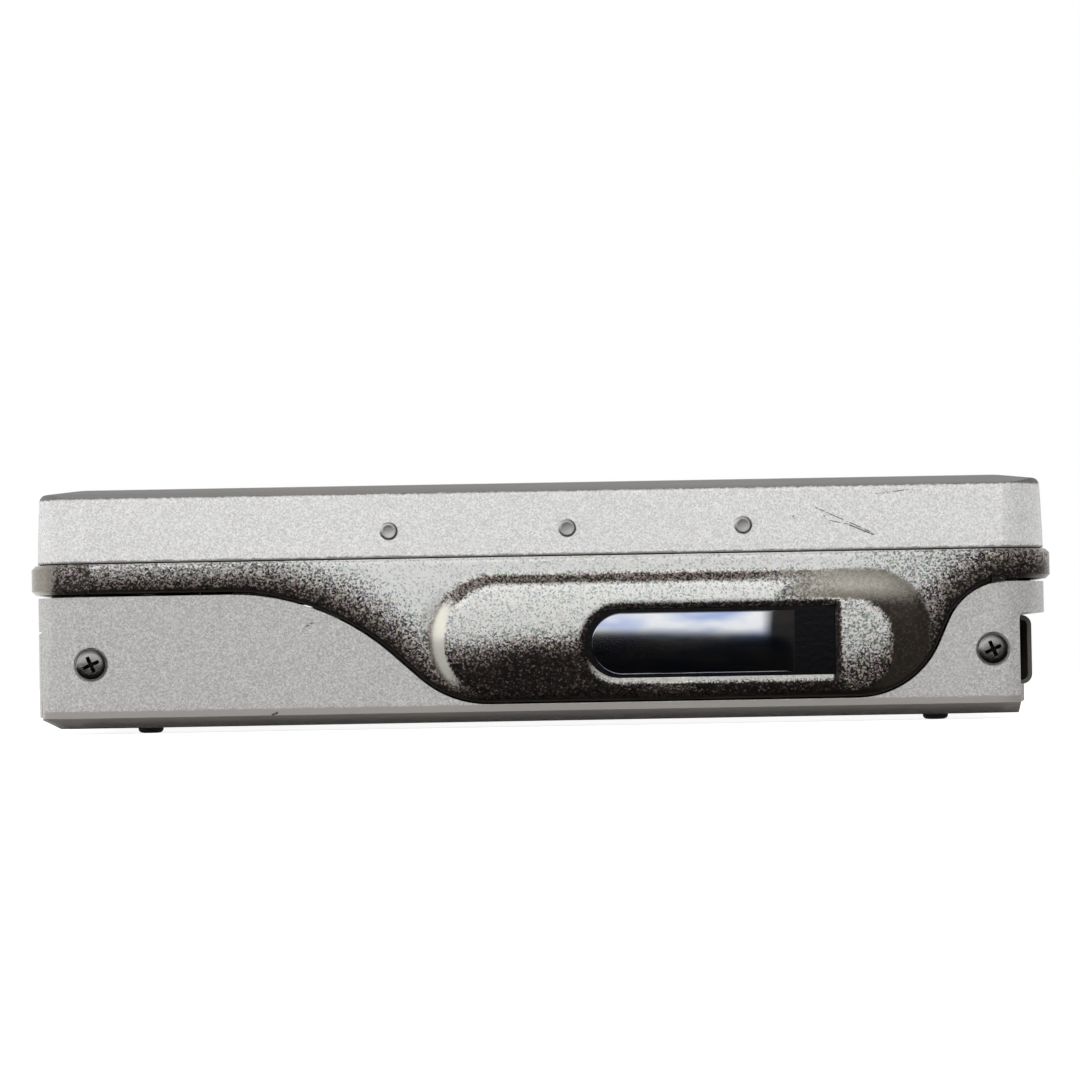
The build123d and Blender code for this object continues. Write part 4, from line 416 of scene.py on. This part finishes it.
def dress(node, width, segments=3, angle=30.0):
    """A copy of a CAD node with its edges rounded, which stands for the node."""
    mesh = frame["nodes"][node].data.copy()
    mesh.name = node + "_finish"
    shape = bmesh.new()
    shape.from_mesh(mesh)
    bmesh.ops.remove_doubles(shape, verts=shape.verts, dist=2e-6)
    bmesh.ops.dissolve_limit(shape, angle_limit=math.radians(0.5), verts=shape.verts, edges=shape.edges)
    for face in shape.faces:
        face.smooth = True
    for edge in shape.edges:
        edge.smooth = not (edge.is_manifold and edge.calc_face_angle() > math.radians(angle))
    shape.to_mesh(mesh)
    shape.free()
    if mesh.has_custom_normals:
        mesh.normals_split_custom_set([(0.0, 0.0, 0.0)] * len(mesh.loops))
    piece = new_piece(node + "_finish", mesh, MATERIAL_OF.get(node, STEEL), BODY_OF[node])
    bevel = piece.modifiers.new("round", "BEVEL")
    bevel.width = width
    bevel.segments = segments
    bevel.limit_method = "ANGLE"
    bevel.angle_limit = math.radians(angle)
    bevel.use_clamp_overlap = True
    bevel.miter_outer = "MITER_ARC"
    bevel.harden_normals = False
    weights = piece.modifiers.new("weights", "WEIGHTED_NORMAL")
    weights.keep_sharp = False
    weights.weight = 60
    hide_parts(node)
    return piece


def baked(piece):
    """Applies the piece's modifiers to its mesh."""
    graph = bpy.context.evaluated_depsgraph_get()
    mesh = bpy.data.meshes.new_from_object(piece.evaluated_get(graph))
    piece.modifiers.clear()
    piece.data = mesh
    return piece


def cut(piece, tool_mesh):
    """Takes a closed mesh away from the piece."""
    tool = bpy.data.objects.new("tool", tool_mesh)
    scene.collection.objects.link(tool)
    change = piece.modifiers.new("cut", "BOOLEAN")
    change.operation = "DIFFERENCE"
    change.solver = "EXACT"
    change.object = tool
    bpy.context.view_layer.update()
    baked(piece)
    bpy.data.objects.remove(tool)


def set_painted_light_and_grain(piece, tone, grain):
    """Stores the painted light and shade (tone) and the grain of the finish on the piece's vertices."""
    for name, values in (("tone", tone), ("grain", grain)):
        layer = piece.data.attributes.new(name, "FLOAT", "POINT")
        layer.data.foreach_set("value", np.clip(values, 0, 1).astype(np.float32))


def vertex_places(piece):
    """The piece's vertices in millimetres, as an array."""
    corners = np.empty(3 * len(piece.data.vertices))
    piece.data.vertices.foreach_get("co", corners)
    return corners.reshape(-1, 3) / MM


def box_mesh(low, high):
    """A box between two corners, in metres."""
    shape = bmesh.new()
    bmesh.ops.create_cube(shape, size=1.0)
    for vert in shape.verts:
        vert.co = Vector([lo + (c + 0.5) * (hi - lo) for c, lo, hi in zip(vert.co, low, high)])
    mesh = bpy.data.meshes.new("box")
    shape.to_mesh(mesh)
    shape.free()
    return mesh


# ---------------------------------------------------------------- fascia, in millimetres
BAND_LOW, BAND_HIGH = 10.78, 13.07
CASE_HIGH = 10.55
CASE_FRONT = -36.0
CUT_FRONT = -40.0       # in front of everything; the tools that cut the knob and the frame start here
APRON_LOW = 1.92
FASCIA_END = 34.6
FASCIA_BACK = -35.25
FASCIA_COLUMNS, FASCIA_ROWS = 420, 56   # rows between the finer ones at foot and head
SWEEP_EASE = 9.2        # height at which a sweep starts to ease up to the band's lower edge
EDGE_ROLL = 0.32
# start on the apron's flat bottom, side, angle, lower radius, upper radius
SWEEPS = ((-3.95, -1, 42.0, 8.0, 18.5), (24.1, 1, 66.0, 6.9, 4.9))
# left, right, bottom, top, radius at the right
PAD = (-7.5, 26.85, 2.36, 11.05, 3.2)
PAD_RIGHT = (10.0, 26.85, 2.36, 9.45, 3.0)      # the pad's lower right end, past its sloping shoulder
SHOULDER = ((20.4, 11.05), (18.0, 9.45))        # line on which the pad's upper facet ends
GROOVE = (-8.7, 29.85, 1.92, 11.75, 4.8)
WINDOW = (3.3, 22.5, 3.63, 8.93, 0.05)


def sweep_points(start, side, angle, low_radius, high_radius, steps=40):
    """The S-curve from the apron's flat bottom up to the band, as (x, z) points."""
    turn = math.radians(angle)
    drop = CASE_HIGH - APRON_LOW
    line = (drop - (low_radius + high_radius) * (1 - math.cos(turn))) / math.sin(turn)
    points = []
    for index in range(steps + 1):
        a = turn * index / steps
        points.append((low_radius * math.sin(a), APRON_LOW + low_radius * (1 - math.cos(a))))
    x, z = points[-1]
    x, z = x + line * math.cos(turn), z + line * math.sin(turn)
    for index in range(steps + 1):
        a = turn * (1 - index / steps)
        across, rise = math.sin(turn) - math.sin(a), math.cos(a) - math.cos(turn)
        points.append((x + high_radius * across, z + high_radius * rise))
    return [(start + side * px, pz) for px, pz in points]


def bottom_line():
    """The fascia's lower outline from left to right."""
    left = sweep_points(*SWEEPS[0])[::-1]
    right = sweep_points(*SWEEPS[1])
    lift = BAND_LOW - CASE_HIGH
    line = [(-FASCIA_END, BAND_LOW), (left[0][0] - 1.2, BAND_LOW)]
    line += left + right
    line += [(right[-1][0] + 1.2, BAND_LOW), (FASCIA_END, BAND_LOW)]
    # the top of each sweep eases up from the case's edge to the band's lower edge
    eased = []
    for x, z in line:
        share = max(0.0, (z - SWEEP_EASE) / (CASE_HIGH - SWEEP_EASE))
        eased.append((x, min(BAND_LOW, z + lift * share * share)))
    return np.array(eased)


def rounded_box_distance(x, z, left, right, low, high, right_radius):
    """Distance outside a box with a full round left end; negative inside."""
    radius = np.where(x > (left + right) / 2, right_radius, (high - low) / 2 - 0.01)
    dx = np.abs(x - (left + right) / 2) - (right - left) / 2 + radius
    dz = np.abs(z - (low + high) / 2) - (high - low) / 2 + radius
    outside = np.hypot(np.maximum(dx, 0), np.maximum(dz, 0))
    return outside + np.minimum(np.maximum(dx, dz), 0) - radius


def line_distance(x, z, line):
    """Distance to the nearest stretch of a line of (x, z) points."""
    best = np.full(x.shape, 1e9)
    for (ax, az), (bx, bz) in zip(line[:-1], line[1:]):
        length = (bx - ax) ** 2 + (bz - az) ** 2
        if length < 1e-12:
            continue
        t = np.clip(((x - ax) * (bx - ax) + (z - az) * (bz - az)) / length, 0, 1)
        best = np.minimum(best, np.hypot(x - ax - t * (bx - ax), z - az - t * (bz - az)))
    return best


def step(value, low, high):
    """Smooth step from 0 at low to 1 at high."""
    t = np.clip((value - low) / (high - low), 0, 1)
    return t * t * (3 - 2 * t)


def soft_max(a, b, width):
    """The larger of two, rounded where they meet."""
    t = np.clip(0.5 + 0.5 * (a - b) / width, 0, 1)
    return a * t + b * (1 - t) + width * t * (1 - t)


def pad_distance(x, z):
    """Distance outside the raised oval, whose upper right corner is cut back by a shoulder."""
    (ax, az), (bx, bz) = SHOULDER
    length = math.hypot(ax - bx, az - bz)
    past = ((x - bx) * (az - bz) - (z - bz) * (ax - bx)) / length
    upper = soft_max(rounded_box_distance(x, z, *PAD), past, 1.2)
    return -soft_max(-upper, -rounded_box_distance(x, z, *PAD_RIGHT), 0.9)


def fascia_reach(x, z, line):
    """How far the fascia stands out from the shells at each (x, z)."""
    edge = line_distance(x, z, line)
    base = 0.50 - 0.26 * np.clip(1 - edge / 3.4, 0, 1) ** 2
    pad_out = np.maximum(pad_distance(x, z), 0)
    groove_in = -rounded_box_distance(x, z, *GROOVE)
    share = np.where(groove_in > 0, pad_out / np.maximum(pad_out + groove_in, 1e-6), 1.0)
    pad = 1.0 - 0.34 * np.clip((7.6 - z) / 5.2, 0, 1) ** 2 - 0.10 * np.clip((z - 8.4) / 2.6, 0, 1) ** 2
    shoulder = np.clip(1 + pad_distance(x, z) / 0.35, 0, 1)
    pad = pad - 0.07 * shoulder**2
    slope = 1 - (1 - share) ** 1.8
    reach = pad + (base - pad) * slope
    dip = 0.10 * (1 - step(z, 8.5, 11.0))
    reach -= dip * np.exp(-((groove_in / 0.42) ** 2)) * np.clip(edge / 1.2, 0, 1)
    window_out = rounded_box_distance(x, z, *WINDOW)
    reach -= 0.42 * np.clip(1 - np.maximum(window_out, 0) / 0.5, 0, 1) ** 1.6
    for distance in (edge, BAND_HIGH - z):
        near = np.clip(1 - distance / EDGE_ROLL, 0, 1)
        reach -= EDGE_ROLL * (1 - np.sqrt(1 - near**2))
    return reach


def fascia_painted_light_and_grain(x, z, line):
    """Painted light and shade (tone) and grain of the finish: blasted faces, and polished slopes, crescent
    and edges.
    """
    edge = line_distance(x, z, line)
    pad_gap = pad_distance(x, z)
    groove_in = -rounded_box_distance(x, z, *GROOVE)
    # open field round the oval: painted reflection, brightest in the middle and painted dark along the lower
    # edge
    reach = 2.1 + 2.4 * step(x, -30.0, -14.0) - 1.2 * step(x, 24.0, 31.0)
    field = np.clip(edge / reach, 0, 1) ** 0.85
    field *= 0.62 + 0.38 * step(x, -33.0, -17.0)
    field *= 1.0 - 0.30 * step(x, 21.0, 30.0)
    grain = 0.75 + 0.25 * step(edge, 0.3, 2.5)
    # oval's face: painted light above, painted dark below, and less of both at the right end
    lower = step(z, 3.8 + 1.2 * step(x, -7.0, 0.0), 8.2)
    face = 0.90 * lower - 0.10 * (1 - step(z, 3.4, 5.2))
    right_end = step(x, 22.6, 23.2)
    face = face * (1 - right_end) + right_end * (0.22 + 0.50 * step(z - 0.35 * (x - 23.0), 2.2, 6.5))
    # painted shade along the oval face's edge
    face = np.where(pad_gap > -0.25, face * 0.75, face)
    # slope round the oval: a painted bright crescent highlight at the left, smooth and painted dull over the
    # right
    slope_share = np.clip(pad_gap / np.maximum(pad_gap + groove_in, 1e-6), 0, 1)
    crescent = step(-x, 5.6, 7.6) * (1 - step(z, 9.0, 10.6)) * step(z, 2.2, 4.0)
    above = step(z, 8.6, 10.6)
    right_side = step(x, 14.0, 24.0)
    inner = 1 - slope_share
    slope = 0.24 + 0.08 * above + right_side * (0.05 + 0.30 * above * inner**0.8 - 0.06 * (1 - above))
    outer = step(slope_share, 0.45, 1.0)
    slope = slope * (1 - crescent) + crescent * (0.93 * (1 - outer) + 0.35 * outer)
    # painted shade on the slope's lowest part, near the lower edge
    under = (1 - step(z, 2.30, 2.75)) * step(edge, 0.0, 0.2)
    slope = slope * (1 - 0.75 * under)
    soft = 0.04 + 0.55 * step(x, 16.0, 17.6) * (1 - step(x, 20.5, 22.0)) * step(z, 9.3, 9.7)
    inside = step(-pad_gap / soft, -1.0, 1.0)
    on_slope = step(groove_in, -0.25, 0.25)
    tone = field * (1 - on_slope) + slope * on_slope
    tone = tone * (1 - inside) + face * inside
    grain = grain * (1 - on_slope * np.maximum(0.35, 0.88 * np.maximum(right_side, crescent)))
    grain = grain * (1 - inside) + 0.9 * inside
    # dished rim of the window: painted dark above and at the right end, painted bright below
    window_out = rounded_box_distance(x, z, *WINDOW)
    rim = 1 - step(window_out, 0.28, 0.55)
    rim_painted_light = 0.10 + 0.80 * (1 - step(z, 3.5, 5.4))
    rim_painted_light = np.where(x > WINDOW[1] - 0.2, 0.06, rim_painted_light)
    tone = tone * (1 - rim) + rim_painted_light * rim
    grain = grain * (1 - 0.25 * rim)
    # polished bevel along the lower edge, with a painted dark reflection
    bevel = 1 - step(edge, 0.16, 0.34)
    tone = tone * (1 - bevel) + 0.08 * bevel
    grain = grain * (1 - 0.9 * bevel)
    return tone, grain


def fascia_mesh():
    """The curved plate of the frame's front, closed by a flat back."""
    line = bottom_line()
    columns = np.linspace(-FASCIA_END, FASCIA_END, FASCIA_COLUMNS)
    low = np.interp(columns, line[:, 0], line[:, 1])
    foot = np.array([0, 0.03, 0.07, 0.12, 0.18, 0.25, 0.33, 0.43, 0.56, 0.72, 0.92, 1.15])
    head = np.array([0.45, 0.34, 0.25, 0.18, 0.12, 0.07, 0.03, 0.0])
    middle = np.linspace(0, 1, FASCIA_ROWS + 2)[1:-1]
    rows = [low + offset for offset in foot]
    for share in middle:
        rows.append(low + foot[-1] + share * (BAND_HIGH - head[0] - low - foot[-1]))
    for offset in head:
        rows.append(np.full(columns.shape, BAND_HIGH - offset))
    z = np.array(rows)
    x = np.broadcast_to(columns, z.shape)
    y = CASE_FRONT - fascia_reach(x, z, line)
    count_rows, count_columns = z.shape
    front = [(a * MM, b * MM, c * MM) for a, b, c in zip(x.ravel(), y.ravel(), z.ravel())]
    points = front + [(a, FASCIA_BACK * MM, c) for a, _, c in front]
    half = len(front)
    faces = []
    for i in range(count_rows - 1):
        for j in range(count_columns - 1):
            a = i * count_columns + j
            quad = (a, a + 1, a + count_columns + 1, a + count_columns)
            faces.append(quad)
            faces.append(tuple(half + k for k in reversed(quad)))
    rim = list(range(count_columns))
    rim += [i * count_columns + count_columns - 1 for i in range(1, count_rows)]
    rim += [(count_rows - 1) * count_columns + j for j in range(count_columns - 2, -1, -1)]
    rim += [i * count_columns for i in range(count_rows - 2, 0, -1)]
    for a, b in zip(rim, rim[1:] + rim[:1]):
        faces.append((b, a, half + a, half + b))
    mesh = bpy.data.meshes.new("fascia")
    mesh.from_pydata(points, [], faces)
    mesh.validate()
    return mesh


def outline_prism(left, right, low, high, right_radius, front, back, steps=24):
    """A closed prism along Y with a round left end, in millimetres."""
    points = []
    for cx, cz, radius, start in (
        (right - right_radius, high - right_radius, right_radius, 0),
        (left + (high - low) / 2, (low + high) / 2, (high - low) / 2, 90),
        (left + (high - low) / 2, (low + high) / 2, (high - low) / 2, 180),
        (right - right_radius, low + right_radius, right_radius, 270),
    ):
        for index in range(steps + 1):
            a = math.radians(start + 90.0 * index / steps)
            points.append((cx + radius * math.cos(a), cz + radius * math.sin(a)))
    shape = bmesh.new()
    rings = [[shape.verts.new((x * MM, y * MM, z * MM)) for x, z in points] for y in (front, back)]
    shape.faces.new(rings[0])
    shape.faces.new(rings[1][::-1])
    count = len(points)
    for index in range(count):
        after = (index + 1) % count
        shape.faces.new((rings[0][index], rings[1][index], rings[1][after], rings[0][after]))
    bmesh.ops.remove_doubles(shape, verts=shape.verts, dist=1e-7)
    bmesh.ops.recalc_face_normals(shape, faces=shape.faces)
    mesh = bpy.data.meshes.new("prism")
    shape.to_mesh(mesh)
    shape.free()
    return mesh


def turned(name, centres, along_y, profile, steps=40):
    """Closed turned solids in millimetres: (radius, place along the axis) from one end to the other."""
    shape = bmesh.new()
    for cx, cy, cz in centres:
        rings = []
        for radius, along in profile:
            if radius == 0.0:
                angles = [0.0]
            else:
                angles = [2 * math.pi * k / steps for k in range(steps)]
            ring = []
            for a in angles:
                u, v = radius * math.cos(a), radius * math.sin(a)
                point = (cx + u, along, cz + v) if along_y else (cx + u, cy + v, along)
                ring.append(shape.verts.new([c * MM for c in point]))
            rings.append(ring)
        for one, two in zip(rings[:-1], rings[1:]):
            for k in range(steps):
                corners = [one[k % len(one)], one[(k + 1) % len(one)]]
                corners += [two[(k + 1) % len(two)], two[k % len(two)]]
                shape.faces.new(list(dict.fromkeys(corners)))
    bmesh.ops.recalc_face_normals(shape, faces=shape.faces)
    mesh = bpy.data.meshes.new(name)
    shape.to_mesh(mesh)
    shape.free()
    mesh.shade_smooth()
    mesh.set_sharp_from_angle(angle=math.radians(42))
    return mesh


def slot_mesh(centres, turn, length, width, front, bottom):
    """Tapered bars that cut one slot of the screws' cross recesses."""
    shape = bmesh.new()
    a = math.radians(turn)
    for cx, cz in centres:
        rings = []
        for y, taper in ((front, 1.2), (bottom, 0.40)):
            ring = []
            for u, v in ((-1, -1), (1, -1), (1, 1), (-1, 1)):
                u, v = u * length / 2 * taper, v * width / 2 * (0.6 + 0.4 * taper)
                x = cx + u * math.cos(a) - v * math.sin(a)
                z = cz + u * math.sin(a) + v * math.cos(a)
                ring.append(shape.verts.new((x * MM, y * MM, z * MM)))
            rings.append(ring)
        shape.faces.new(rings[0])
        shape.faces.new(rings[1])
        for k in range(4):
            shape.faces.new((rings[0][k], rings[0][(k + 1) % 4], rings[1][(k + 1) % 4], rings[1][k]))
    bmesh.ops.recalc_face_normals(shape, faces=shape.faces)
    mesh = bpy.data.meshes.new("slot")
    shape.to_mesh(mesh)
    shape.free()
    return mesh


# ---------------------------------------------------------------- nodes with rounded edges
# The radius of each node's edges, in millimetres
EDGE = {
    "lid_shell": 0.25,
    "lower_case": 0.22,
    "mid_frame": 0.12,
    "battery_door": 0.12,
    "slider_knob": 0.10,
    "lcd_window": 0.10,
    "back_key": 0.12,
    "play_key": 0.12,
    "forward_key": 0.12,
    "stop_key": 0.12,
    "volume_up_key": 0.10,
    "volume_down_key": 0.10,
    "hold_knob": 0.08,
    "turntable": 0.08,
    "pickup_sled": 0.08,
    "lens_holder": 0.06,
    "terminal_shell": 0.06,
}
dressed = {node: dress(node, edge * MM) for node, edge in EDGE.items()}

# ---------------------------------------------------------------- latch knob
KNOB_BOX = (3.8, 19.4, 3.90, 8.66)      # left, foot of the ramp, bottom, top
KNOB_FACE = -36.90
KNOB_BACK = -35.95
KNOB_CROWN = 0.17
KNOB_RAMP = 2.6
KNOB_EDGE = 0.16
KNOB_LEAN = (0.065, 0.055)              # how far the face leans forward at the top, and what the left adds
KNOB_LEAN_END = 12.0                    # length over which the left's share dies out


def knob_mesh(columns=150, rows=60):
    """Crowned cap with a round left end and a ramp down at the right, in millimetres."""
    left, right, low, high = KNOB_BOX
    radius = (high - low) / 2
    middle = (high + low) / 2
    along = left + (right - left) * np.concatenate(
        [0.32 * np.linspace(0, 1, columns // 2) ** 2.2, np.linspace(0.32, 1, columns // 2 + 1)[1:]]
    )
    across = np.sin(np.linspace(-math.pi / 2, math.pi / 2, rows))
    x = np.repeat(along[:, None], rows, 1)
    short = np.clip(radius - (x - left), 0, radius)
    half = np.maximum(np.sqrt(np.maximum(radius**2 - short**2, 0.0)), 0.02)
    z = middle + across[None, :] * half
    height = (z - middle) / radius
    lean = KNOB_LEAN[0] + KNOB_LEAN[1] * np.clip((left + KNOB_LEAN_END - x) / KNOB_LEAN_END, 0, 1)
    y = KNOB_FACE + KNOB_CROWN * height**2 - lean * height
    rim = np.minimum(half - np.abs(z - middle), x - left)
    near = np.clip(1 - rim / KNOB_EDGE, 0, 1)
    y = y + KNOB_EDGE * (1 - np.sqrt(1 - near**2))
    ramp = np.clip((x - right + KNOB_RAMP) / KNOB_RAMP, 0, 1)
    y = y + (KNOB_BACK - 0.12 - y) * ramp**2
    front = [(a * MM, b * MM, c * MM) for a, b, c in zip(x.ravel(), y.ravel(), z.ravel())]
    points = front + [(a, KNOB_BACK * MM, c) for a, _, c in front]
    count = len(front)
    total = len(along)
    faces = []
    for i in range(total - 1):
        for j in range(rows - 1):
            a = i * rows + j
            quad = (a, a + rows, a + rows + 1, a + 1)
            faces.append(quad)
            faces.append(tuple(count + k for k in reversed(quad)))
    rim_loop = [i * rows for i in range(total)] + [(total - 1) * rows + j for j in range(1, rows)]
    rim_loop += [i * rows + rows - 1 for i in range(total - 2, -1, -1)] + list(range(rows - 2, 0, -1))
    for a, b in zip(rim_loop, rim_loop[1:] + rim_loop[:1]):
        faces.append((b, a, count + a, count + b))
    mesh = bpy.data.meshes.new("knob")
    mesh.from_pydata(points, [], faces)
    mesh.validate()
    return mesh


# The knob's own cap gives way to the crowned one, and its flange stays
cut(baked(dressed["slider_knob"]), box_mesh((0.0, CUT_FRONT * MM, 0.0), (0.030, -0.03599, 0.012)))
knob = new_piece("knob_cap", knob_mesh(), KNOB, "latch")
knob.data.shade_smooth()
knob.data.set_sharp_from_angle(angle=math.radians(50))
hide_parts("slider_knob")

# The frame's flat front gives way to the curved fascia
cut(
    baked(dressed["mid_frame"]),
    box_mesh((-FASCIA_END * MM, CUT_FRONT * MM, 0.0), (FASCIA_END * MM, FASCIA_BACK * MM, 0.0135)),
)
fascia = new_piece("fascia", fascia_mesh(), FASCIA, "base")
cut(fascia, outline_prism(*WINDOW, CUT_FRONT, -34.0))
fascia.data.shade_smooth()
fascia.data.set_sharp_from_angle(angle=math.radians(40))
# The fascia's painted light and shade and its grain, stored on its vertices
place = vertex_places(fascia)
set_painted_light_and_grain(fascia, *fascia_painted_light_and_grain(place[:, 0], place[:, 2], bottom_line()))
# The band's painted light and shade: dark at its lower edge, lighter towards the top, and an even mid level
# at its left end
place = vertex_places(dressed["mid_frame"])
band_painted_light = 0.04 + 0.34 * step(place[:, 2], BAND_LOW, BAND_HIGH - 0.2)
band_end = step(-place[:, 0], 37.2, 37.7)
set_painted_light_and_grain(dressed["mid_frame"], band_painted_light * (1 - band_end) + 0.44 * band_end, 0.75 - 0.65 * band_end)
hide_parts("mid_frame")

# The folded return spring, with its edges rounded
spring = baked(dress("latch_spring", 0.04 * MM, 2))
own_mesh(spring)

# ---------------------------------------------------------------- fasteners and feet
# Each profile runs from one end of the axis to the other: (radius, place along the axis)
RIVET_X, RIVET_Z = (-11.6, 2.1, 15.6), 15.2
RIVET_PROFILE = (
    (0.0, -36.12), (0.22, -36.122), (0.38, -36.132), (0.50, -36.145), (0.58, -36.138), (0.66, -36.10),
    (0.71, -36.04), (0.725, -35.99), (0.725, -35.93), (0.39, -35.92), (0.39, -34.9), (0.0, -34.9),
)
SCREW_PROFILE = (
    (0.0, -36.10), (0.40, -36.098), (0.70, -36.085), (0.90, -36.06), (1.03, -36.02), (1.12, -35.96),
    (1.18, -35.88), (1.20, -35.78), (1.20, -35.55), (0.55, -35.55), (0.55, -33.3), (0.2, -32.97),
    (0.0, -32.95),
)
FOOT_X, FOOT_Y = 30.6, 29.5
FOOT_PROFILE = (
    (0.0, 0.0), (0.50, 0.004), (0.72, 0.03), (0.86, 0.09),
    (0.95, 0.19), (0.985, 0.30), (0.99, 0.45), (0.0, 0.45),
)

rivet_mesh = turned("rivets", [(x, 0.0, RIVET_Z) for x in RIVET_X], True, RIVET_PROFILE)
rivets = new_piece("rivet_heads", rivet_mesh, RIVET, "lid")
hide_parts("lid_rivets")

SCREWS = ((-SCREW_X, SCREW_Z), (SCREW_X, SCREW_Z))
screw_mesh = turned("screws", [(x, 0.0, z) for x, z in SCREWS], True, SCREW_PROFILE, 56)
screws = new_piece("case_screw_heads", screw_mesh, SCREW, "base")
# Turn in degrees, length, width and bottom; the second slot is a hair wider and shallower, so that
# the two floors don't lie in one plane
SLOT_FRONT = -36.3
SLOTS = ((24.0, 1.50, 0.30, -35.70), (114.0, 1.50, 0.302, -35.701))
for turn, length, width, bottom in SLOTS:
    cut(screws, slot_mesh(SCREWS, turn, length, width, SLOT_FRONT, bottom))
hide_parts("case_screws")

foot_places = [(x, y, 0.0) for x in (-FOOT_X, FOOT_X) for y in (-FOOT_Y, FOOT_Y)]
foot_mesh = turned("feet", foot_places, False, FOOT_PROFILE, 36)
feet = new_piece("foot_pads", foot_mesh, FOOT, "base")
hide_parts("rubber_feet")

for node, piece in frame["nodes"].items():
    if node not in EDGE and node != "latch_spring":
        paint(piece, MATERIAL_OF.get(node, STEEL))

# ---------------------------------------------------------------- floor and light
floor_mesh = bpy.data.meshes.new("floor")
floor_mesh.from_pydata([(-3, -3, 0), (3, -3, 0), (3, 3, 0), (-3, 3, 0)], [], [(0, 1, 2, 3)])
floor = bpy.data.objects.new("floor", floor_mesh)
scene.collection.objects.link(floor)
floor_material = bpy.data.materials.new("floor")
tree = Tree(floor_material)
ray = tree.add("ShaderNodeLightPath").outputs
# Glossy rays see a white floor from a little behind the object's front backwards, a dark one ahead of it
near = tree.remap(tree.split(tree.position())[1], -0.034, -0.024)
glossy = tree.math("MULTIPLY", ray["Is Glossy Ray"], near)
through = tree.math("MAXIMUM", glossy, ray["Is Transmission Ray"])
direct = tree.math("MAXIMUM", ray["Is Camera Ray"], through)
plain = tree.add("ShaderNodeBsdfDiffuse", {"Color": (0.80, 0.80, 0.80, 1.0)})
glow = tree.math("MULTIPLY", direct, 0.80)
lift = tree.add("ShaderNodeEmission", {"Color": (1.0, 1.0, 1.0, 1.0), "Strength": glow})
both = tree.add("ShaderNodeAddShader", {0: plain.outputs[0], 1: lift.outputs[0]})
away = tree.math("MULTIPLY", ray["Is Glossy Ray"], tree.math("SUBTRACT", 1.0, near))
dim = tree.add("ShaderNodeEmission", {"Color": (0.003, 0.003, 0.003, 1.0), "Strength": 1.0})
floor_end = tree.add("ShaderNodeMixShader", {0: away, 1: both.outputs[0], 2: dim.outputs[0]})
tree.add("ShaderNodeOutputMaterial", {"Surface": floor_end.outputs[0]})
floor.data.materials.append(floor_material)

world = bpy.data.worlds.new("studio")
scene.world = world
tree = Tree(world)
ray = tree.add("ShaderNodeLightPath").outputs
parts = tree.split(tree.add("ShaderNodeTexCoord").outputs["Generated"])
# What the metal reflects: white behind, and in front a gradient from the dark floor to a dull ceiling
behind = tree.remap(parts[1], 0.25, 0.75)
ahead = tree.remap(parts[1], 0.1, -0.8, 0.45, 1.0)
upward = tree.ramp(
    tree.remap(parts[2], -1.0, 1.0),
    [
        (0.48, grey(0.03)),
        (0.505, grey(0.12)),
        (0.53, grey(0.95)),
        (0.66, grey(1.0)),
        (0.76, grey(0.40, 0.05)),
        (1.0, grey(0.30, 0.05)),
    ],
)
upward = tree.mix(ahead, grey(0.10), upward)
upward = tree.mix(tree.remap(parts[0], 0.0, 0.45), upward, grey(0.025, 0.12))
upward = tree.mix(tree.remap(parts[0], -0.45, -0.75), upward, grey(0.75))
seen = tree.mix(behind, upward, (1.0, 1.0, 1.0))
# What lights the paint: a little more from the left
fill = tree.remap(parts[0], -1.0, 1.0, 0.50, 0.33)
fill = tree.add("ShaderNodeCombineColor", {0: fill, 1: fill, 2: fill}).outputs[0]
filled = tree.mix(ray["Is Glossy Ray"], fill, seen)
filled = tree.mix(ray["Is Transmission Ray"], filled, (1.0, 1.0, 1.0))
filled = tree.mix(ray["Is Camera Ray"], filled, (1.0, 1.0, 1.0))
back = tree.add("ShaderNodeBackground", {"Color": filled, "Strength": 1.0})
tree.add("ShaderNodeOutputWorld", {"Surface": back.outputs[0]})


def softbox(name, place, aim, size, power):
    data = bpy.data.lights.new(name, "AREA")
    data.shape = "RECTANGLE"
    data.size, data.size_y = size
    data.energy = power
    lamp = bpy.data.objects.new(name, data)
    scene.collection.objects.link(lamp)
    lamp.location = place
    lamp.rotation_euler = (Vector(aim) - Vector(place)).to_track_quat("-Z", "Y").to_euler()
    lamp.visible_glossy = False      # the world's own gradient is what shines in the metal


softbox("front_light", (0.0, -0.75, 0.21), (0.0, -0.03, 0.01), (0.9, 0.20), 3.3)
softbox("top_light", (0.0, 0.05, 0.55), (0.0, 0.0, 0.01), (0.6, 0.5), 0.5)
softbox("left_light", (-0.50, -0.12, 0.22), (0.0, 0.0, 0.01), (0.25, 0.35), 0.6)
softbox("right_light", (0.50, -0.12, 0.22), (0.0, 0.0, 0.01), (0.25, 0.35), 0.20)
